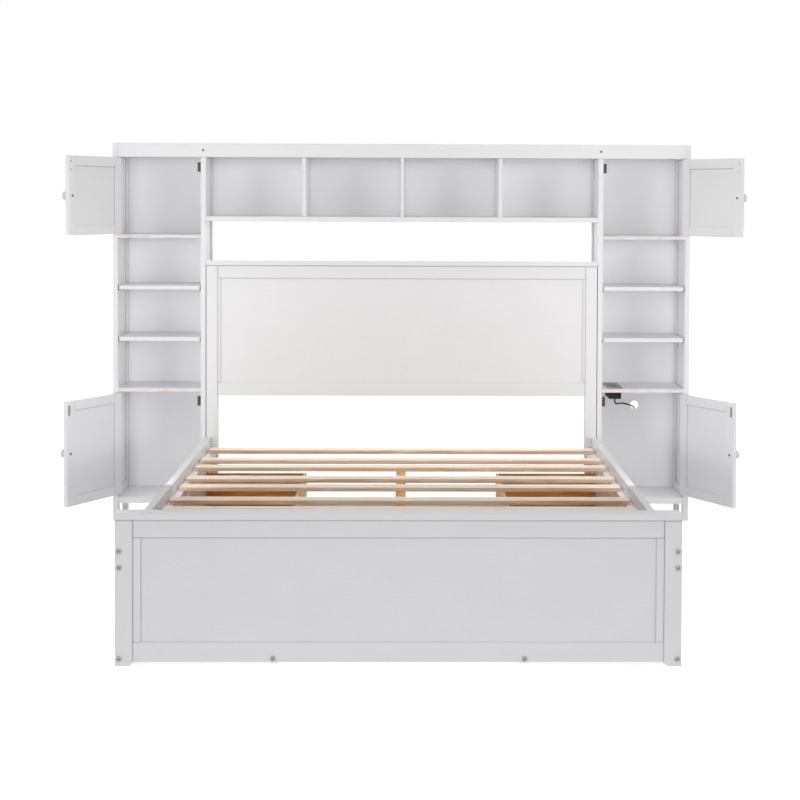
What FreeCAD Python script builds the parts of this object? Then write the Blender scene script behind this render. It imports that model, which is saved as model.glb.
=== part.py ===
"""A queen bed between two cabinet towers that a bridge of open cubbies joins, as a parametric document.

Millimetres. +X is to the right seen from the foot end, +Y runs from foot to head and +Z is up. The origin is on
the floor under the middle leg of the centre beam, half-way along the side rails. The doors rest open.
"""
import FreeCAD
import Part
import math
import os
import re
from FreeCAD import Placement, Rotation, Vector

# Driving sizes: name, value and what it measures
SIZES = (
    ("bed_width", 1620, "outside of the side rails"),
    ("mattress_length", 2032, "queen mattress"),
    ("mattress_slack", 10, "spare length between the boards"),
    ("post_depth", 45, "footboard and headboard posts, along the bed"),
    ("foot_post_width", 50, "footboard post, across the bed"),
    ("head_post_width", 46, "headboard post, across the bed"),
    ("head_post_inset", 3, "headboard post to tower"),
    ("foot_height", 440, "footboard with its cap"),
    ("head_height", 1078, "headboard with its cap"),
    ("cap_thickness", 20, "caps of both boards"),
    ("cap_overhang", 4, "cap past the posts, front and back"),
    ("foot_chamfer", 9, "cut corner at a footboard post's foot"),
    ("frame_thickness", 22, "rails and stiles of both boards"),
    ("frame_setback", 3, "board frame behind its posts' face"),
    ("panel_thickness", 9, "panels of boards and tower sides"),
    ("panel_setback", 4, "board panel behind its frame's face"),
    ("groove_depth", 8, "how far a panel enters its frame"),
    ("groove_slack", 1, "room past a panel's edge in its groove"),
    ("foot_stile", 23, "footboard stile beside the post"),
    ("foot_top_rail", 51, "footboard top rail"),
    ("foot_bottom_rail", 57, "footboard bottom rail"),
    ("foot_clearance", 11.5, "floor to the bottom rail and the stretcher"),
    ("head_stile", 12, "headboard stile beside the post"),
    ("head_top_rail", 53, "headboard top rail"),
    ("head_bottom_rail", 56, "headboard bottom rail"),
    ("head_underside", 518, "floor to the headboard's bottom rail"),
    ("stretcher_height", 56, "board near the floor between the head posts"),
    ("rail_thickness", 24, "side rails, floor rails and drawer stiles"),
    ("rail_top", 348, "floor to the side rail's top"),
    ("rail_height", 100, "side rail"),
    ("floor_rail_lift", 4, "floor to the floor rails"),
    ("floor_rail_height", 36, "rails at the floor"),
    ("inner_rail_inset", 450, "bed's side to the middle of an inner floor rail"),
    ("upper_bolt_drop", 17, "side rail's top to its upper bolt"),
    ("bolt_spacing", 47, "upper to lower bolt of a side rail"),
    ("bolt_radius", 3, "bed bolt shank"),
    ("bolt_fit", 0.2, "room round a bolt or barrel nut"),
    ("bolt_reach", 55, "bolt past the end of its rail"),
    ("bolt_head_radius", 7.5, "bed bolt head"),
    ("bolt_head_height", 4, "bed bolt head"),
    ("hex_radius", 2.9, "hex socket, centre to corner"),
    ("hex_depth", 2.5, "hex socket"),
    ("nut_radius", 5, "barrel nut"),
    ("nut_length", 16, "barrel nut"),
    ("nut_setback", 40, "rail end to its barrel nut"),
    ("slat_count", 9, "slats"),
    ("slat_pitch_share", 0.1021, "mean slat to slat, as a share of the mattress length"),
    ("slat_stagger", 18, "every other slat off its even place, one way and the other"),
    ("slat_shift", 20, "slats' middle from the bed's middle"),
    ("slat_end_gap", 11, "end of a slat to its side rail"),
    ("slat_width", 68, "slat"),
    ("slat_thickness", 15, "slat"),
    ("slat_top", 321, "floor to the slats' top"),
    ("cleat_width", 25, "ledge on a side rail's inner face"),
    ("cleat_height", 30, "ledge on a side rail's inner face"),
    ("beam_width", 36, "centre beam and its legs"),
    ("beam_height", 45, "centre beam"),
    ("beam_overrun", 40, "centre beam past the middle of the foot slat"),
    ("beam_head_overrun", 10, "centre beam past the middle of the slat it ends under"),
    ("end_stile_width", 90, "stile at each end of a bed side"),
    ("middle_stile", 60, "stile between two drawers"),
    ("drawer_gap", 3, "round a drawer front"),
    ("finger_gap", 22, "over a drawer front, to pull it by"),
    ("drawer_front_thickness", 18, "drawer front"),
    ("drawer_depth", 425, "drawer, front to back"),
    ("drawer_inset", 10, "end of a front to its drawer wall"),
    ("drawer_wall", 12, "drawer wall thickness"),
    ("drawer_wall_height", 175, "drawer wall"),
    ("drawer_bottom", 6, "drawer bottom thickness"),
    ("drawer_bottom_lift", 8, "walls' lower edge to the drawer bottom"),
    ("slide_clearance", 0.2, "drawer over its runners"),
    ("runner_width", 40, "drawer runner"),
    ("runner_thickness", 18, "drawer runner"),
    ("tower_width", 382, "tower"),
    ("tower_height", 1560, "tower"),
    ("tower_depth", 262, "tower"),
    ("side_thickness", 20, "tower sides"),
    ("side_stile", 48, "tower side stile, which is also a leg"),
    ("side_top_rail", 57, "tower side top rail"),
    ("side_bottom_rail", 60, "tower side bottom rail"),
    ("fascia_height", 57, "board along the top front"),
    ("fascia_thickness", 20, "board along the top front"),
    ("top_thickness", 15, "top boards"),
    ("back_thickness", 6, "back panels"),
    ("cabinet_floor_underside", 71, "floor to the lower cabinet"),
    ("cabinet_floor_thickness", 25, "lower cabinet's floor"),
    ("lower_shelf_underside", 534, "floor to the shelf over the lower cabinet"),
    ("upper_cabinet_height", 334, "upper cabinet with its floor, under the fascia"),
    ("fixed_shelf_thickness", 13, "fixed shelves"),
    ("loose_shelf_thickness", 16, "loose shelves"),
    ("loose_shelf_gap", 2, "loose shelf to what is round it"),
    ("loose_shelf_corner", 10, "rounded front corners of a loose shelf"),
    ("shelf_pin_radius", 2.5, "shelf pin"),
    ("shelf_pin_depth", 8, "shelf pin in its stile"),
    ("shelf_pin_stand", 8, "shelf pin out of its stile"),
    ("pin_fit", 0.05, "room round a shelf pin or hinge pin"),
    ("bridge_gap_share", 0.3975, "the bridge's gap over the headboard, as a share of that gap and the cubbies"),
    ("bridge_floor_thickness", 20, "bridge floor"),
    ("divider_count", 3, "boards between the cubbies"),
    ("divider_thickness", 15, "boards between the cubbies"),
    ("door_thickness", 18, "doors"),
    ("door_gap", 3, "round a closed door"),
    ("door_bottom_gap", 16, "cabinet floor to the lower door"),
    ("door_stile", 43, "door stiles"),
    ("door_rail", 39, "door rails"),
    ("door_panel_thickness", 8, "door panel"),
    ("door_panel_setback", 5, "door panel behind the door's front"),
    ("upper_left_angle", 117, "how far this door stands open, in degrees"),
    ("lower_left_angle", 119, "how far this door stands open, in degrees"),
    ("upper_right_angle", 123.5, "how far this door stands open, in degrees"),
    ("lower_right_angle", 118.5, "how far this door stands open, in degrees"),
    ("hinge_height", 50, "butt hinge"),
    ("hinge_inset", 70, "end of a door to the middle of its hinge"),
    ("leaf_width", 20, "hinge leaf"),
    ("leaf_thickness", 1.2, "hinge leaf"),
    ("knuckle_radius", 3, "hinge knuckle"),
    ("knuckle_gap", 0.3, "between the knuckles of a hinge"),
    ("hinge_pin_radius", 1.5, "hinge pin"),
    ("knob_radius", 17, "knob head"),
    ("knob_half_head", 8, "half of the knob head's thickness"),
    ("knob_length", 28, "knob, off the door"),
    ("knob_foot_radius", 9, "knob foot on the door"),
    ("knob_neck_radius", 7, "knob neck under the head"),
    ("knob_inset", 20, "door's free edge to the knob"),
    ("knob_screw_radius", 2, "screw through the door into the knob"),
    ("knob_screw_bite", 12, "that screw's length in the knob"),
    ("knob_screw_head", 4.5, "that screw's head radius"),
    ("knob_screw_head_height", 2, "that screw's head"),
    ("screw_fit", 0.1, "room round that screw"),
    ("strike_height", 39, "strike plate on a door"),
    ("strike_width", 10, "strike plate on a door"),
    ("strike_thickness", 1.2, "strike plate on a door"),
    ("strike_inset", 7, "door's free edge to its strike plate"),
    ("strike_drop", 18, "door's top to its strike plate"),
    ("stud_radius", 2.5, "strike studs of an upper door"),
    ("stud_spacing", 34, "strike stud to strike stud"),
    ("catch_height", 39, "magnetic catch"),
    ("catch_width", 16, "magnetic catch, out from the tower side"),
    ("catch_depth", 14, "magnetic catch"),
    ("catch_gap", 0.5, "closed strike plate to its catch"),
    ("plate_width", 59, "power plate"),
    ("plate_length", 190, "power plate"),
    ("plate_thickness", 4, "power plate"),
    ("plate_setback", 27, "shelf's front edge to the power plate"),
    ("plate_side_gap", 32, "tower's inner side to the power plate"),
    ("power_box_width", 50, "box under the power plate"),
    ("power_box_length", 146, "box under the power plate"),
    ("power_box_drop", 32, "box below the shelf"),
    ("power_box_wall", 2, "box wall"),
    ("cutout_slack", 0.5, "box in its shelf cut-out, each side"),
    ("socket_size", 34, "mains socket face"),
    ("socket_depth", 12, "socket inserts"),
    ("usb_length", 24, "low-voltage socket face"),
    ("socket_spacing", 46, "socket to socket"),
    ("socket_rise", 0.5, "socket face above the plate"),
    ("slot_width", 2.2, "mains slot"),
    ("slot_length", 8, "mains slot"),
    ("slot_spacing", 12.7, "mains slot to slot"),
    ("slot_depth", 9, "all slots and ports"),
    ("earth_radius", 2.5, "mains earth hole"),
    ("earth_offset", 11, "mains slots to the earth hole"),
    ("port_length", 13, "low-voltage port"),
    ("port_width", 5.2, "low-voltage port"),
    ("port_spacing", 12, "low-voltage port to port"),
    ("tongue_width", 2, "contact tongue in a low-voltage port"),
    ("grommet_radius", 6, "cord grommet under the box"),
    ("grommet_height", 2, "cord grommet under the box"),
    ("grommet_lip", 1, "grommet's mouth past the cord"),
    ("cord_setback", 15, "box front to the cord's middle"),
    ("cable_hole_radius", 17.5, "hole in the right back panel"),
    ("cable_hole_height", 451, "floor to that hole's middle"),
    ("cord_diameter", 6, "mains lead"),
    ("coil_turns", 5, "turns of the put-away coil"),
    ("coil_radius", 33, "middle of its turns"),
    ("coil_gap", 0.6, "turn to turn"),
    ("coil_side_shift", 13.5, "power box's middle to the coil's middle, across"),
    ("coil_back_shift", 0.75, "towers' back to the coil's middle"),
    ("coil_lead_in", 6, "straight cord before the coil"),
    ("coil_tail", 15, "straight cord from the coil to the plug"),
    ("tie_width", 8, "coil tie"),
    ("tie_thickness", 1.2, "coil tie"),
    ("tie_gap", 0.6, "coil to its tie"),
    ("plug_width", 26, "mains plug body"),
    ("plug_length", 38, "mains plug body"),
    ("relief_length", 22, "plug's tapered strain relief"),
    ("relief_radius", 5.5, "strain relief at the plug"),
    ("relief_lip", 0.5, "strain relief's mouth past the cord"),
    ("blade_length", 18, "plug blade"),
    ("blade_width", 6.3, "plug blade"),
    ("blade_thickness", 1.6, "plug blade"),
    ("blade_spacing", 12.7, "blade to blade"),
)

doc = FreeCAD.newDocument("bed_with_cabinets")
sheet = doc.addObject("Spreadsheet::Sheet", "Sizes")
for row, (name, value, _meaning) in enumerate(SIZES, start=1):
    sheet.set(f"A{row}", str(value))
    sheet.setAlias(f"A{row}", name)
doc.recompute()

NAMES = {name for name, _value, _meaning in SIZES}
LEFT, RIGHT = -1, 1
FOOT, HEAD = -1, 1
nodes = []


def size(name):
    """The number in a size's cell."""
    return float(sheet.get(name))


def expr(text):
    """An expression in which every size name refers to its cell."""
    return re.sub(r"[a-z_]+", lambda m: f"Sizes.{m.group()}" if m.group() in NAMES else m.group(), text)


def bind(thing, **expressions):
    """Bind properties of an object to expressions in the sizes."""
    for prop, text in expressions.items():
        thing.setExpression(prop, expr(text))
    return thing


def place(thing, x, y, z):
    """Bind an object's position to three expressions."""
    for axis, text in zip("xyz", (x, y, z)):
        thing.setExpression(f"Placement.Base.{axis}", expr(text))
    return thing


def board(name, x, y, z):
    """A square-edged board between pairs of limits along each axis."""
    box = doc.addObject("Part::Box", name)
    lengths = {p: f"({hi}) - ({lo})" for p, (lo, hi) in zip(("Length", "Width", "Height"), (x, y, z))}
    return place(bind(box, **lengths), x[0], y[0], z[0])


# Turns that take a rod's own axis, +Z, to each direction
TURNS = {
    "+x": Rotation(Vector(0, 1, 0), 90),
    "-x": Rotation(Vector(0, 1, 0), -90),
    "+y": Rotation(Vector(1, 0, 0), -90),
    "-y": Rotation(Vector(1, 0, 0), 90),
    "+z": Rotation(),
    "-z": Rotation(Vector(1, 0, 0), 180),
}


def rod(name, radius, length, towards, x, y, z):
    """A round rod that starts at a point and runs in a direction."""
    cylinder = doc.addObject("Part::Cylinder", name)
    cylinder.Placement = Placement(Vector(), TURNS[towards])
    return place(bind(cylinder, Radius=radius, Height=length), x, y, z)


def cone(name, radius, end_radius, length, towards, x, y, z):
    """A round taper that starts at a point and runs in a direction."""
    taper = doc.addObject("Part::Cone", name)
    taper.Placement = Placement(Vector(), TURNS[towards])
    return place(bind(taper, Radius1=radius, Radius2=end_radius, Height=length), x, y, z)


def group(name, members):
    """Separate solids kept together in one object."""
    bundle = doc.addObject("Part::Compound", name)
    bundle.Links = members
    return bundle


def cut(name, base, *tools):
    """A base with tools cut out of it."""
    result = doc.addObject("Part::Cut", name)
    result.Base = base
    result.Tool = tools[0] if len(tools) == 1 else fuse(f"{name}_tools", *tools)
    return result


def fuse(name, *pieces):
    """Overlapping forms joined into one solid."""
    result = doc.addObject("Part::MultiFuse", name)
    result.Shapes = list(pieces)
    return result


def node(label, members):
    """A named sub-part made of one or more solids, which is written to its own file."""
    bundle = group(label, members)
    nodes.append(bundle)
    return bundle


def across(side, near, far):
    """Limits of a piece from near to far out from the middle, on one side."""
    return (near, far) if side > 0 else (f"-({far})", f"-({near})")


def out(side, distance):
    """A place at a distance from the middle, on one side."""
    return distance if side > 0 else f"-({distance})"


def framed_panel(name, plane, wide, thick, high, stiles, rails, panel, feet=None, short_stiles=False):
    """Two stiles and two rails with grooves, round a loose panel.

    wide and high are the limits of the frame, thick and panel the limits of frame and panel across it, stiles
    the width of the low and the high stile, rails the height of the bottom and the top rail. feet is where long
    stiles start, if that is below the bottom rail.
    """
    def slab(tag, along, through, up):
        pair = (along, through) if plane == "xz" else (through, along)
        return board(f"{name}_{tag}", *pair, up)

    inner = (f"{wide[0]} + {stiles[0]}", f"{wide[1]} - {stiles[1]}")
    middle = (f"{high[0]} + {rails[0]}", f"{high[1]} - {rails[1]}")
    upright = middle if short_stiles else (feet or high[0], high[1])
    level = wide if short_stiles else inner
    pieces = {
        "low_stile": slab("low_stile_blank", (wide[0], inner[0]), thick, upright),
        "high_stile": slab("high_stile_blank", (inner[1], wide[1]), thick, upright),
        "bottom_rail": slab("bottom_rail_blank", level, thick, (high[0], middle[0])),
        "top_rail": slab("top_rail_blank", level, thick, (middle[1], high[1])),
    }

    def grown(limits, by):
        return (f"{limits[0]} - ({by})", f"{limits[1]} + ({by})")

    groove = slab("groove", grown(inner, "groove_depth + groove_slack"), panel,
                  grown(middle, "groove_depth + groove_slack"))
    pieces = {tag: cut(f"{name}_{tag}", blank, groove) for tag, blank in pieces.items()}
    pieces["panel"] = slab("panel", grown(inner, "groove_depth"), panel, grown(middle, "groove_depth"))
    return pieces


# Places that several sub-parts share
half_bed = "bed_width / 2"
head_y = "(mattress_length + mattress_slack) / 2"
foot_y = f"-({head_y})"
foot_face = f"{foot_y} - post_depth"
foot_frame_face = f"{foot_face} + frame_setback"
head_frame_face = f"{head_y} + frame_setback"
floor_rail_top = "floor_rail_lift + floor_rail_height"
rail_inside = f"{half_bed} - rail_thickness"
rail_middle = f"{half_bed} - rail_thickness / 2"
rail_underside = "rail_top - rail_height"
inner_rail = f"{half_bed} - inner_rail_inset"
floor_bolt_height = "floor_rail_lift + floor_rail_height / 2"
upper_bolt_height = "rail_top - upper_bolt_drop"
lower_bolt_height = "rail_top - upper_bolt_drop - bolt_spacing"
cleat_top = "slat_top - slat_thickness"


# Bed bolts: a form for each grip, then one bolt, nut and pair of holes for each place
def bolt_form(name, grip):
    """A bolt along +Z whose head's underside is at its origin."""
    shank = rod(f"{name}_shank", "bolt_radius", f"{grip} + bolt_reach", "+z", "0", "0", "0")
    head = rod(f"{name}_head", "bolt_head_radius", "bolt_head_height", "-z", "0", "0", "0")
    socket = doc.addObject("Part::Prism", f"{name}_socket")
    bind(socket, Circumradius="hex_radius", Height="hex_depth")
    place(socket, "0", "0", "-bolt_head_height")
    return cut(name, fuse(f"{name}_blank", shank, head), socket)


post_bolt = bolt_form("post_bolt", "post_depth")
frame_bolt = bolt_form("frame_bolt", "frame_thickness")
bolts = []


def bolt(tag, form, end, side, x, z, seat, joint):
    """Set one bolt with its barrel nut, and return the holes for it.

    end is the board that it passes through, seat the face its head lies on and joint the end of its rail. The
    nut goes in through the rail's face that looks to the middle of the bed.
    """
    towards, back = ("+y", "-y") if end == FOOT else ("-y", "+y")
    sign = "+" if end == FOOT else "-"
    copy = group(f"{tag}_bolt", [form])
    copy.Placement = Placement(Vector(), TURNS[towards])
    bolts.append(place(copy, x, seat, z))
    hole = rod(f"{tag}_hole", "bolt_radius + bolt_fit", f"abs(({joint}) - ({seat})) + bolt_reach + bolt_fit",
               towards, x, seat, z)
    nut_y = f"{joint} {sign} nut_setback"
    blank = rod(f"{tag}_nut_blank", "nut_radius", "nut_length", "+x", f"{x} - nut_length / 2", nut_y, z)
    bore = rod(f"{tag}_nut_bore", "bolt_radius + bolt_fit", "4 * nut_radius", back, x,
               f"{nut_y} {sign} 2 * nut_radius", z)
    bolts.append(cut(f"{tag}_nut", blank, bore))
    pocket_x = f"{x} - rail_thickness / 2" if side > 0 else f"{x} - nut_length / 2 - bolt_fit"
    return hole, rod(f"{tag}_nut_pocket", "nut_radius + bolt_fit", "(rail_thickness + nut_length) / 2 + bolt_fit",
                     "+x", pocket_x, nut_y, z)


SIDE_NAMES = {LEFT: "left", RIGHT: "right"}
END_NAMES = {FOOT: "foot", HEAD: "head"}
POST_FACES = {FOOT: (foot_face, foot_y), HEAD: (f"{head_y} + post_depth", head_y)}
FRAME_FACES = {FOOT: (foot_frame_face, f"{foot_frame_face} + frame_thickness"),
               HEAD: (f"{head_frame_face} + frame_thickness", head_frame_face)}
post_holes = {(end, side): [] for end in END_NAMES for side in SIDE_NAMES}
frame_holes = {end: [] for end in END_NAMES}
side_rails, lower_rails, inner_rails, cleats, drawer_stiles = [], [], [], [], []
for side, side_name in SIDE_NAMES.items():
    rail_x = across(side, rail_inside, half_bed)
    floor_z = ("floor_rail_lift", floor_rail_top)
    holes = {"side": [], "lower": [], "inner": []}
    for end, end_name in END_NAMES.items():
        for use, height in (("side", upper_bolt_height), ("side", lower_bolt_height), ("lower", floor_bolt_height)):
            tag = f"{end_name}_{side_name}_{use}_{len(holes[use])}"
            made = bolt(tag, post_bolt, end, side, out(side, rail_middle), height, *POST_FACES[end])
            post_holes[end, side].append(made[0])
            holes[use].extend(made)
        made = bolt(f"{end_name}_{side_name}_inner", frame_bolt, end, side, out(side, inner_rail),
                    floor_bolt_height, *FRAME_FACES[end])
        frame_holes[end].append(made[0])
        holes["inner"].extend(made)
    blank = board(f"{side_name}_side_rail_blank", rail_x, (foot_y, head_y), (rail_underside, "rail_top"))
    side_rails.append(cut(f"{side_name}_side_rail", blank, *holes["side"]))
    blank = board(f"{side_name}_lower_rail_blank", rail_x, (foot_y, head_y), floor_z)
    lower_rails.append(cut(f"{side_name}_lower_rail", blank, *holes["lower"]))
    inner_x = across(side, f"{inner_rail} - rail_thickness / 2", f"{inner_rail} + rail_thickness / 2")
    blank = board(f"{side_name}_inner_rail_blank", inner_x, (FRAME_FACES[FOOT][1], FRAME_FACES[HEAD][1]), floor_z)
    inner_rails.append(cut(f"{side_name}_inner_rail", blank, *holes["inner"]))
    cleats.append(board(f"{side_name}_cleat", across(side, f"{rail_inside} - cleat_width", rail_inside),
                        (foot_y, head_y), (f"{cleat_top} - cleat_height", cleat_top)))
    for stile_name, stile_y in (("foot", (foot_y, f"{foot_y} + end_stile_width")),
                                ("middle", ("-middle_stile / 2", "middle_stile / 2")),
                                ("head", (f"{head_y} - end_stile_width", head_y))):
        drawer_stiles.append(board(f"{side_name}_{stile_name}_drawer_stile", rail_x, stile_y,
                                   (floor_rail_top, rail_underside)))

# Footboard
foot_posts = []
for side, side_name in SIDE_NAMES.items():
    blank = board(f"foot_{side_name}_post_blank", across(side, f"{half_bed} - foot_post_width", half_bed),
                  (foot_face, foot_y), ("0", "foot_height - cap_thickness"))
    corner = doc.addObject("Part::Box", f"foot_{side_name}_post_corner")
    corner.Placement = Placement(Vector(), Rotation(Vector(0, 1, 0), 45))
    bind(corner, Length="foot_chamfer * sqrt(2)", Width="post_depth", Height="foot_chamfer * sqrt(2)")
    place(corner, f"{out(side, f'{half_bed} - foot_post_width')} - foot_chamfer", foot_face, "0")
    foot_posts.append(cut(f"foot_{side_name}_post", blank, corner, *post_holes[FOOT, side]))
foot_inside = f"{half_bed} - foot_post_width"
foot_frame = framed_panel(
    "footboard", "xz", (f"-({foot_inside})", foot_inside),
    (foot_frame_face, f"{foot_frame_face} + frame_thickness"), ("foot_clearance", "foot_height - cap_thickness"),
    ("foot_stile", "foot_stile"), ("foot_bottom_rail", "foot_top_rail"),
    (f"{foot_frame_face} + panel_setback", f"{foot_frame_face} + panel_setback + panel_thickness"),
    short_stiles=True)
foot_frame["bottom_rail"] = cut("footboard_drilled_rail", foot_frame["bottom_rail"], *frame_holes[FOOT])
node("footboard_posts", foot_posts)
node("footboard_frame", list(foot_frame.values()))
node("footboard_cap", [board("footboard_cap_board", (f"-({half_bed})", half_bed),
                             (f"{foot_face} - cap_overhang", f"{foot_y} + cap_overhang"),
                             ("foot_height - cap_thickness", "foot_height"))])

# Headboard
head_posts = []
head_outside = f"{half_bed} - head_post_inset"
head_inside = f"{head_outside} - head_post_width"
for side, side_name in SIDE_NAMES.items():
    blank = board(f"head_{side_name}_post_blank", across(side, head_inside, head_outside),
                  (head_y, f"{head_y} + post_depth"), ("0", "head_height - cap_thickness"))
    head_posts.append(cut(f"head_{side_name}_post", blank, *post_holes[HEAD, side]))
head_frame_depth = (head_frame_face, f"{head_frame_face} + frame_thickness")
head_frame = framed_panel(
    "headboard", "xz", (f"-({head_inside})", head_inside), head_frame_depth,
    ("head_underside", "head_height - cap_thickness"), ("head_stile", "head_stile"),
    ("head_bottom_rail", "head_top_rail"),
    (f"{head_frame_face} + panel_setback", f"{head_frame_face} + panel_setback + panel_thickness"),
    short_stiles=True)
stretcher = board("stretcher_blank", (f"-({head_inside})", head_inside), head_frame_depth,
                  ("foot_clearance", "foot_clearance + stretcher_height"))
head_frame["stretcher"] = cut("stretcher", stretcher, *frame_holes[HEAD])
node("headboard_posts", head_posts)
node("headboard_frame", list(head_frame.values()))
node("headboard_cap", [board("headboard_cap_board", (f"-({half_bed})", half_bed),
                             (f"{head_y} - cap_overhang", f"{head_y} + post_depth + cap_overhang"),
                             ("head_height - cap_thickness", "head_height"))])

# Rails, slats and what carries them
node("side_rails", side_rails)
node("slat_cleats", cleats)
node("lower_side_frames", lower_rails + drawer_stiles)
node("inner_floor_rails", inner_rails)
node("bed_bolts", bolts)
slat_count = int(size("slat_count"))
slat_end = f"{rail_inside} - slat_end_gap"
slat_pitch = "mattress_length * slat_pitch_share"
slat_middles = [f"slat_shift + {k - (slat_count - 1) / 2} * {slat_pitch} + {(-1) ** k} * slat_stagger"
                for k in range(slat_count)]
node("slats", [board(f"slat_{k}", (f"-({slat_end})", slat_end),
                     (f"{middle} - slat_width / 2", f"{middle} + slat_width / 2"), (cleat_top, "slat_top"))
               for k, middle in enumerate(slat_middles)])
beam_x = ("-beam_width / 2", "beam_width / 2")
# The photo shows the beam no farther than the third slat from the head
beam_y = (f"{slat_middles[0]} - beam_overrun", f"{slat_middles[-3]} + beam_head_overrun")
node("centre_beam", [board("centre_beam_board", beam_x, beam_y, (f"{cleat_top} - beam_height", cleat_top))])
node("centre_legs", [board(f"centre_leg_{k}", beam_x, (f"{2 * k} * {slat_pitch} - beam_width / 2",
                                                       f"{2 * k} * {slat_pitch} + beam_width / 2"),
                           ("0", f"{cleat_top} - beam_height")) for k in (-1, 0, 1)])

# Drawers: two on each side of the bed, each on a pair of runners
runners = []
drawer_back = f"{half_bed} - drawer_depth"
drawer_z = f"{floor_rail_top} + slide_clearance"
for side, side_name in SIDE_NAMES.items():
    for end, end_name in END_NAMES.items():
        name = f"{end_name}_{side_name}_drawer"
        near, far = "middle_stile / 2 + drawer_gap", f"{head_y} - end_stile_width - drawer_gap"
        front_inside = f"{half_bed} - drawer_front_thickness"
        box_near, box_far = f"{near} + drawer_inset", f"{far} - drawer_inset"
        wall_z = (drawer_z, f"{drawer_z} + drawer_wall_height")
        node(f"{name}_front", [board(f"{name}_front_board", across(side, front_inside, half_bed),
                                     across(end, near, far),
                                     (f"{floor_rail_top} + drawer_gap", f"{rail_underside} - finger_gap"))])
        walls = [board(f"{name}_near_wall", across(side, drawer_back, front_inside),
                       across(end, box_near, f"{box_near} + drawer_wall"), wall_z),
                 board(f"{name}_far_wall", across(side, drawer_back, front_inside),
                       across(end, f"{box_far} - drawer_wall", box_far), wall_z)]
        inside_y = across(end, f"{box_near} + drawer_wall", f"{box_far} - drawer_wall")
        walls.append(board(f"{name}_back_wall", across(side, drawer_back, f"{drawer_back} + drawer_wall"), inside_y,
                           wall_z))
        floor_low = f"{drawer_z} + drawer_bottom_lift"
        walls.append(board(f"{name}_floor", across(side, f"{drawer_back} + drawer_wall", front_inside), inside_y,
                           (floor_low, f"{floor_low} + drawer_bottom")))
        node(f"{name}_box", walls)
        runner_x = across(side, f"{inner_rail} + rail_thickness / 2", rail_inside)
        for tag, runner_y in (("near", (box_near, f"{box_near} + runner_width")),
                              ("far", (f"{box_far} - runner_width", box_far))):
            runners.append(board(f"{name}_{tag}_runner", runner_x, across(end, *runner_y),
                                 (f"{floor_rail_top} - runner_thickness", floor_rail_top)))
node("drawer_runners", runners)

# Towers and the bridge between them
tower_out = f"{half_bed} + tower_width"
inner_face = f"{half_bed} + side_thickness"
outer_face = f"{tower_out} - side_thickness"
tower_back = f"{head_y} + tower_depth"
back_face = f"{tower_back} - back_thickness"
fascia_underside = "tower_height - fascia_height"
top_underside = "tower_height - top_thickness"
fascia_back = f"{head_y} + fascia_thickness"
fascia = board("top_fascia_board", (f"-({outer_face})", outer_face), (head_y, fascia_back),
               (fascia_underside, "tower_height"))
stile_middles = (f"{head_y} + side_stile / 2", f"{tower_back} - side_stile / 2")
upper_floor = f"{fascia_underside} - upper_cabinet_height"
shelf_top = "lower_shelf_underside + fixed_shelf_thickness"
open_bay = f"(({upper_floor}) - ({shelf_top}) - 2 * loose_shelf_thickness) / 3"
LOOSE_SHELVES = {"low_loose": f"{shelf_top} + {open_bay}",
                 "high_loose": f"{shelf_top} + 2 * {open_bay} + loose_shelf_thickness"}
bridge_room = f"{fascia_underside} - head_height - bridge_floor_thickness"
bridge_underside = f"head_height + ({bridge_room}) * bridge_gap_share"


def shelf_pin(tag, side, face, into, radius, extra, y, under):
    """A peg under a loose shelf's end, half in a stile. into is +1 where the stile is further out than face."""
    deep = out(into, f"shelf_pin_depth + {extra}")
    start = f"{face} + ({deep})" if into < 0 else f"{face} - shelf_pin_stand"
    length = f"shelf_pin_depth + shelf_pin_stand + {extra}"
    along = "+x" if side > 0 else "-x"
    return rod(tag, radius, length, along, out(side, start), y, f"{under} - shelf_pin_radius - pin_fit")


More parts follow.
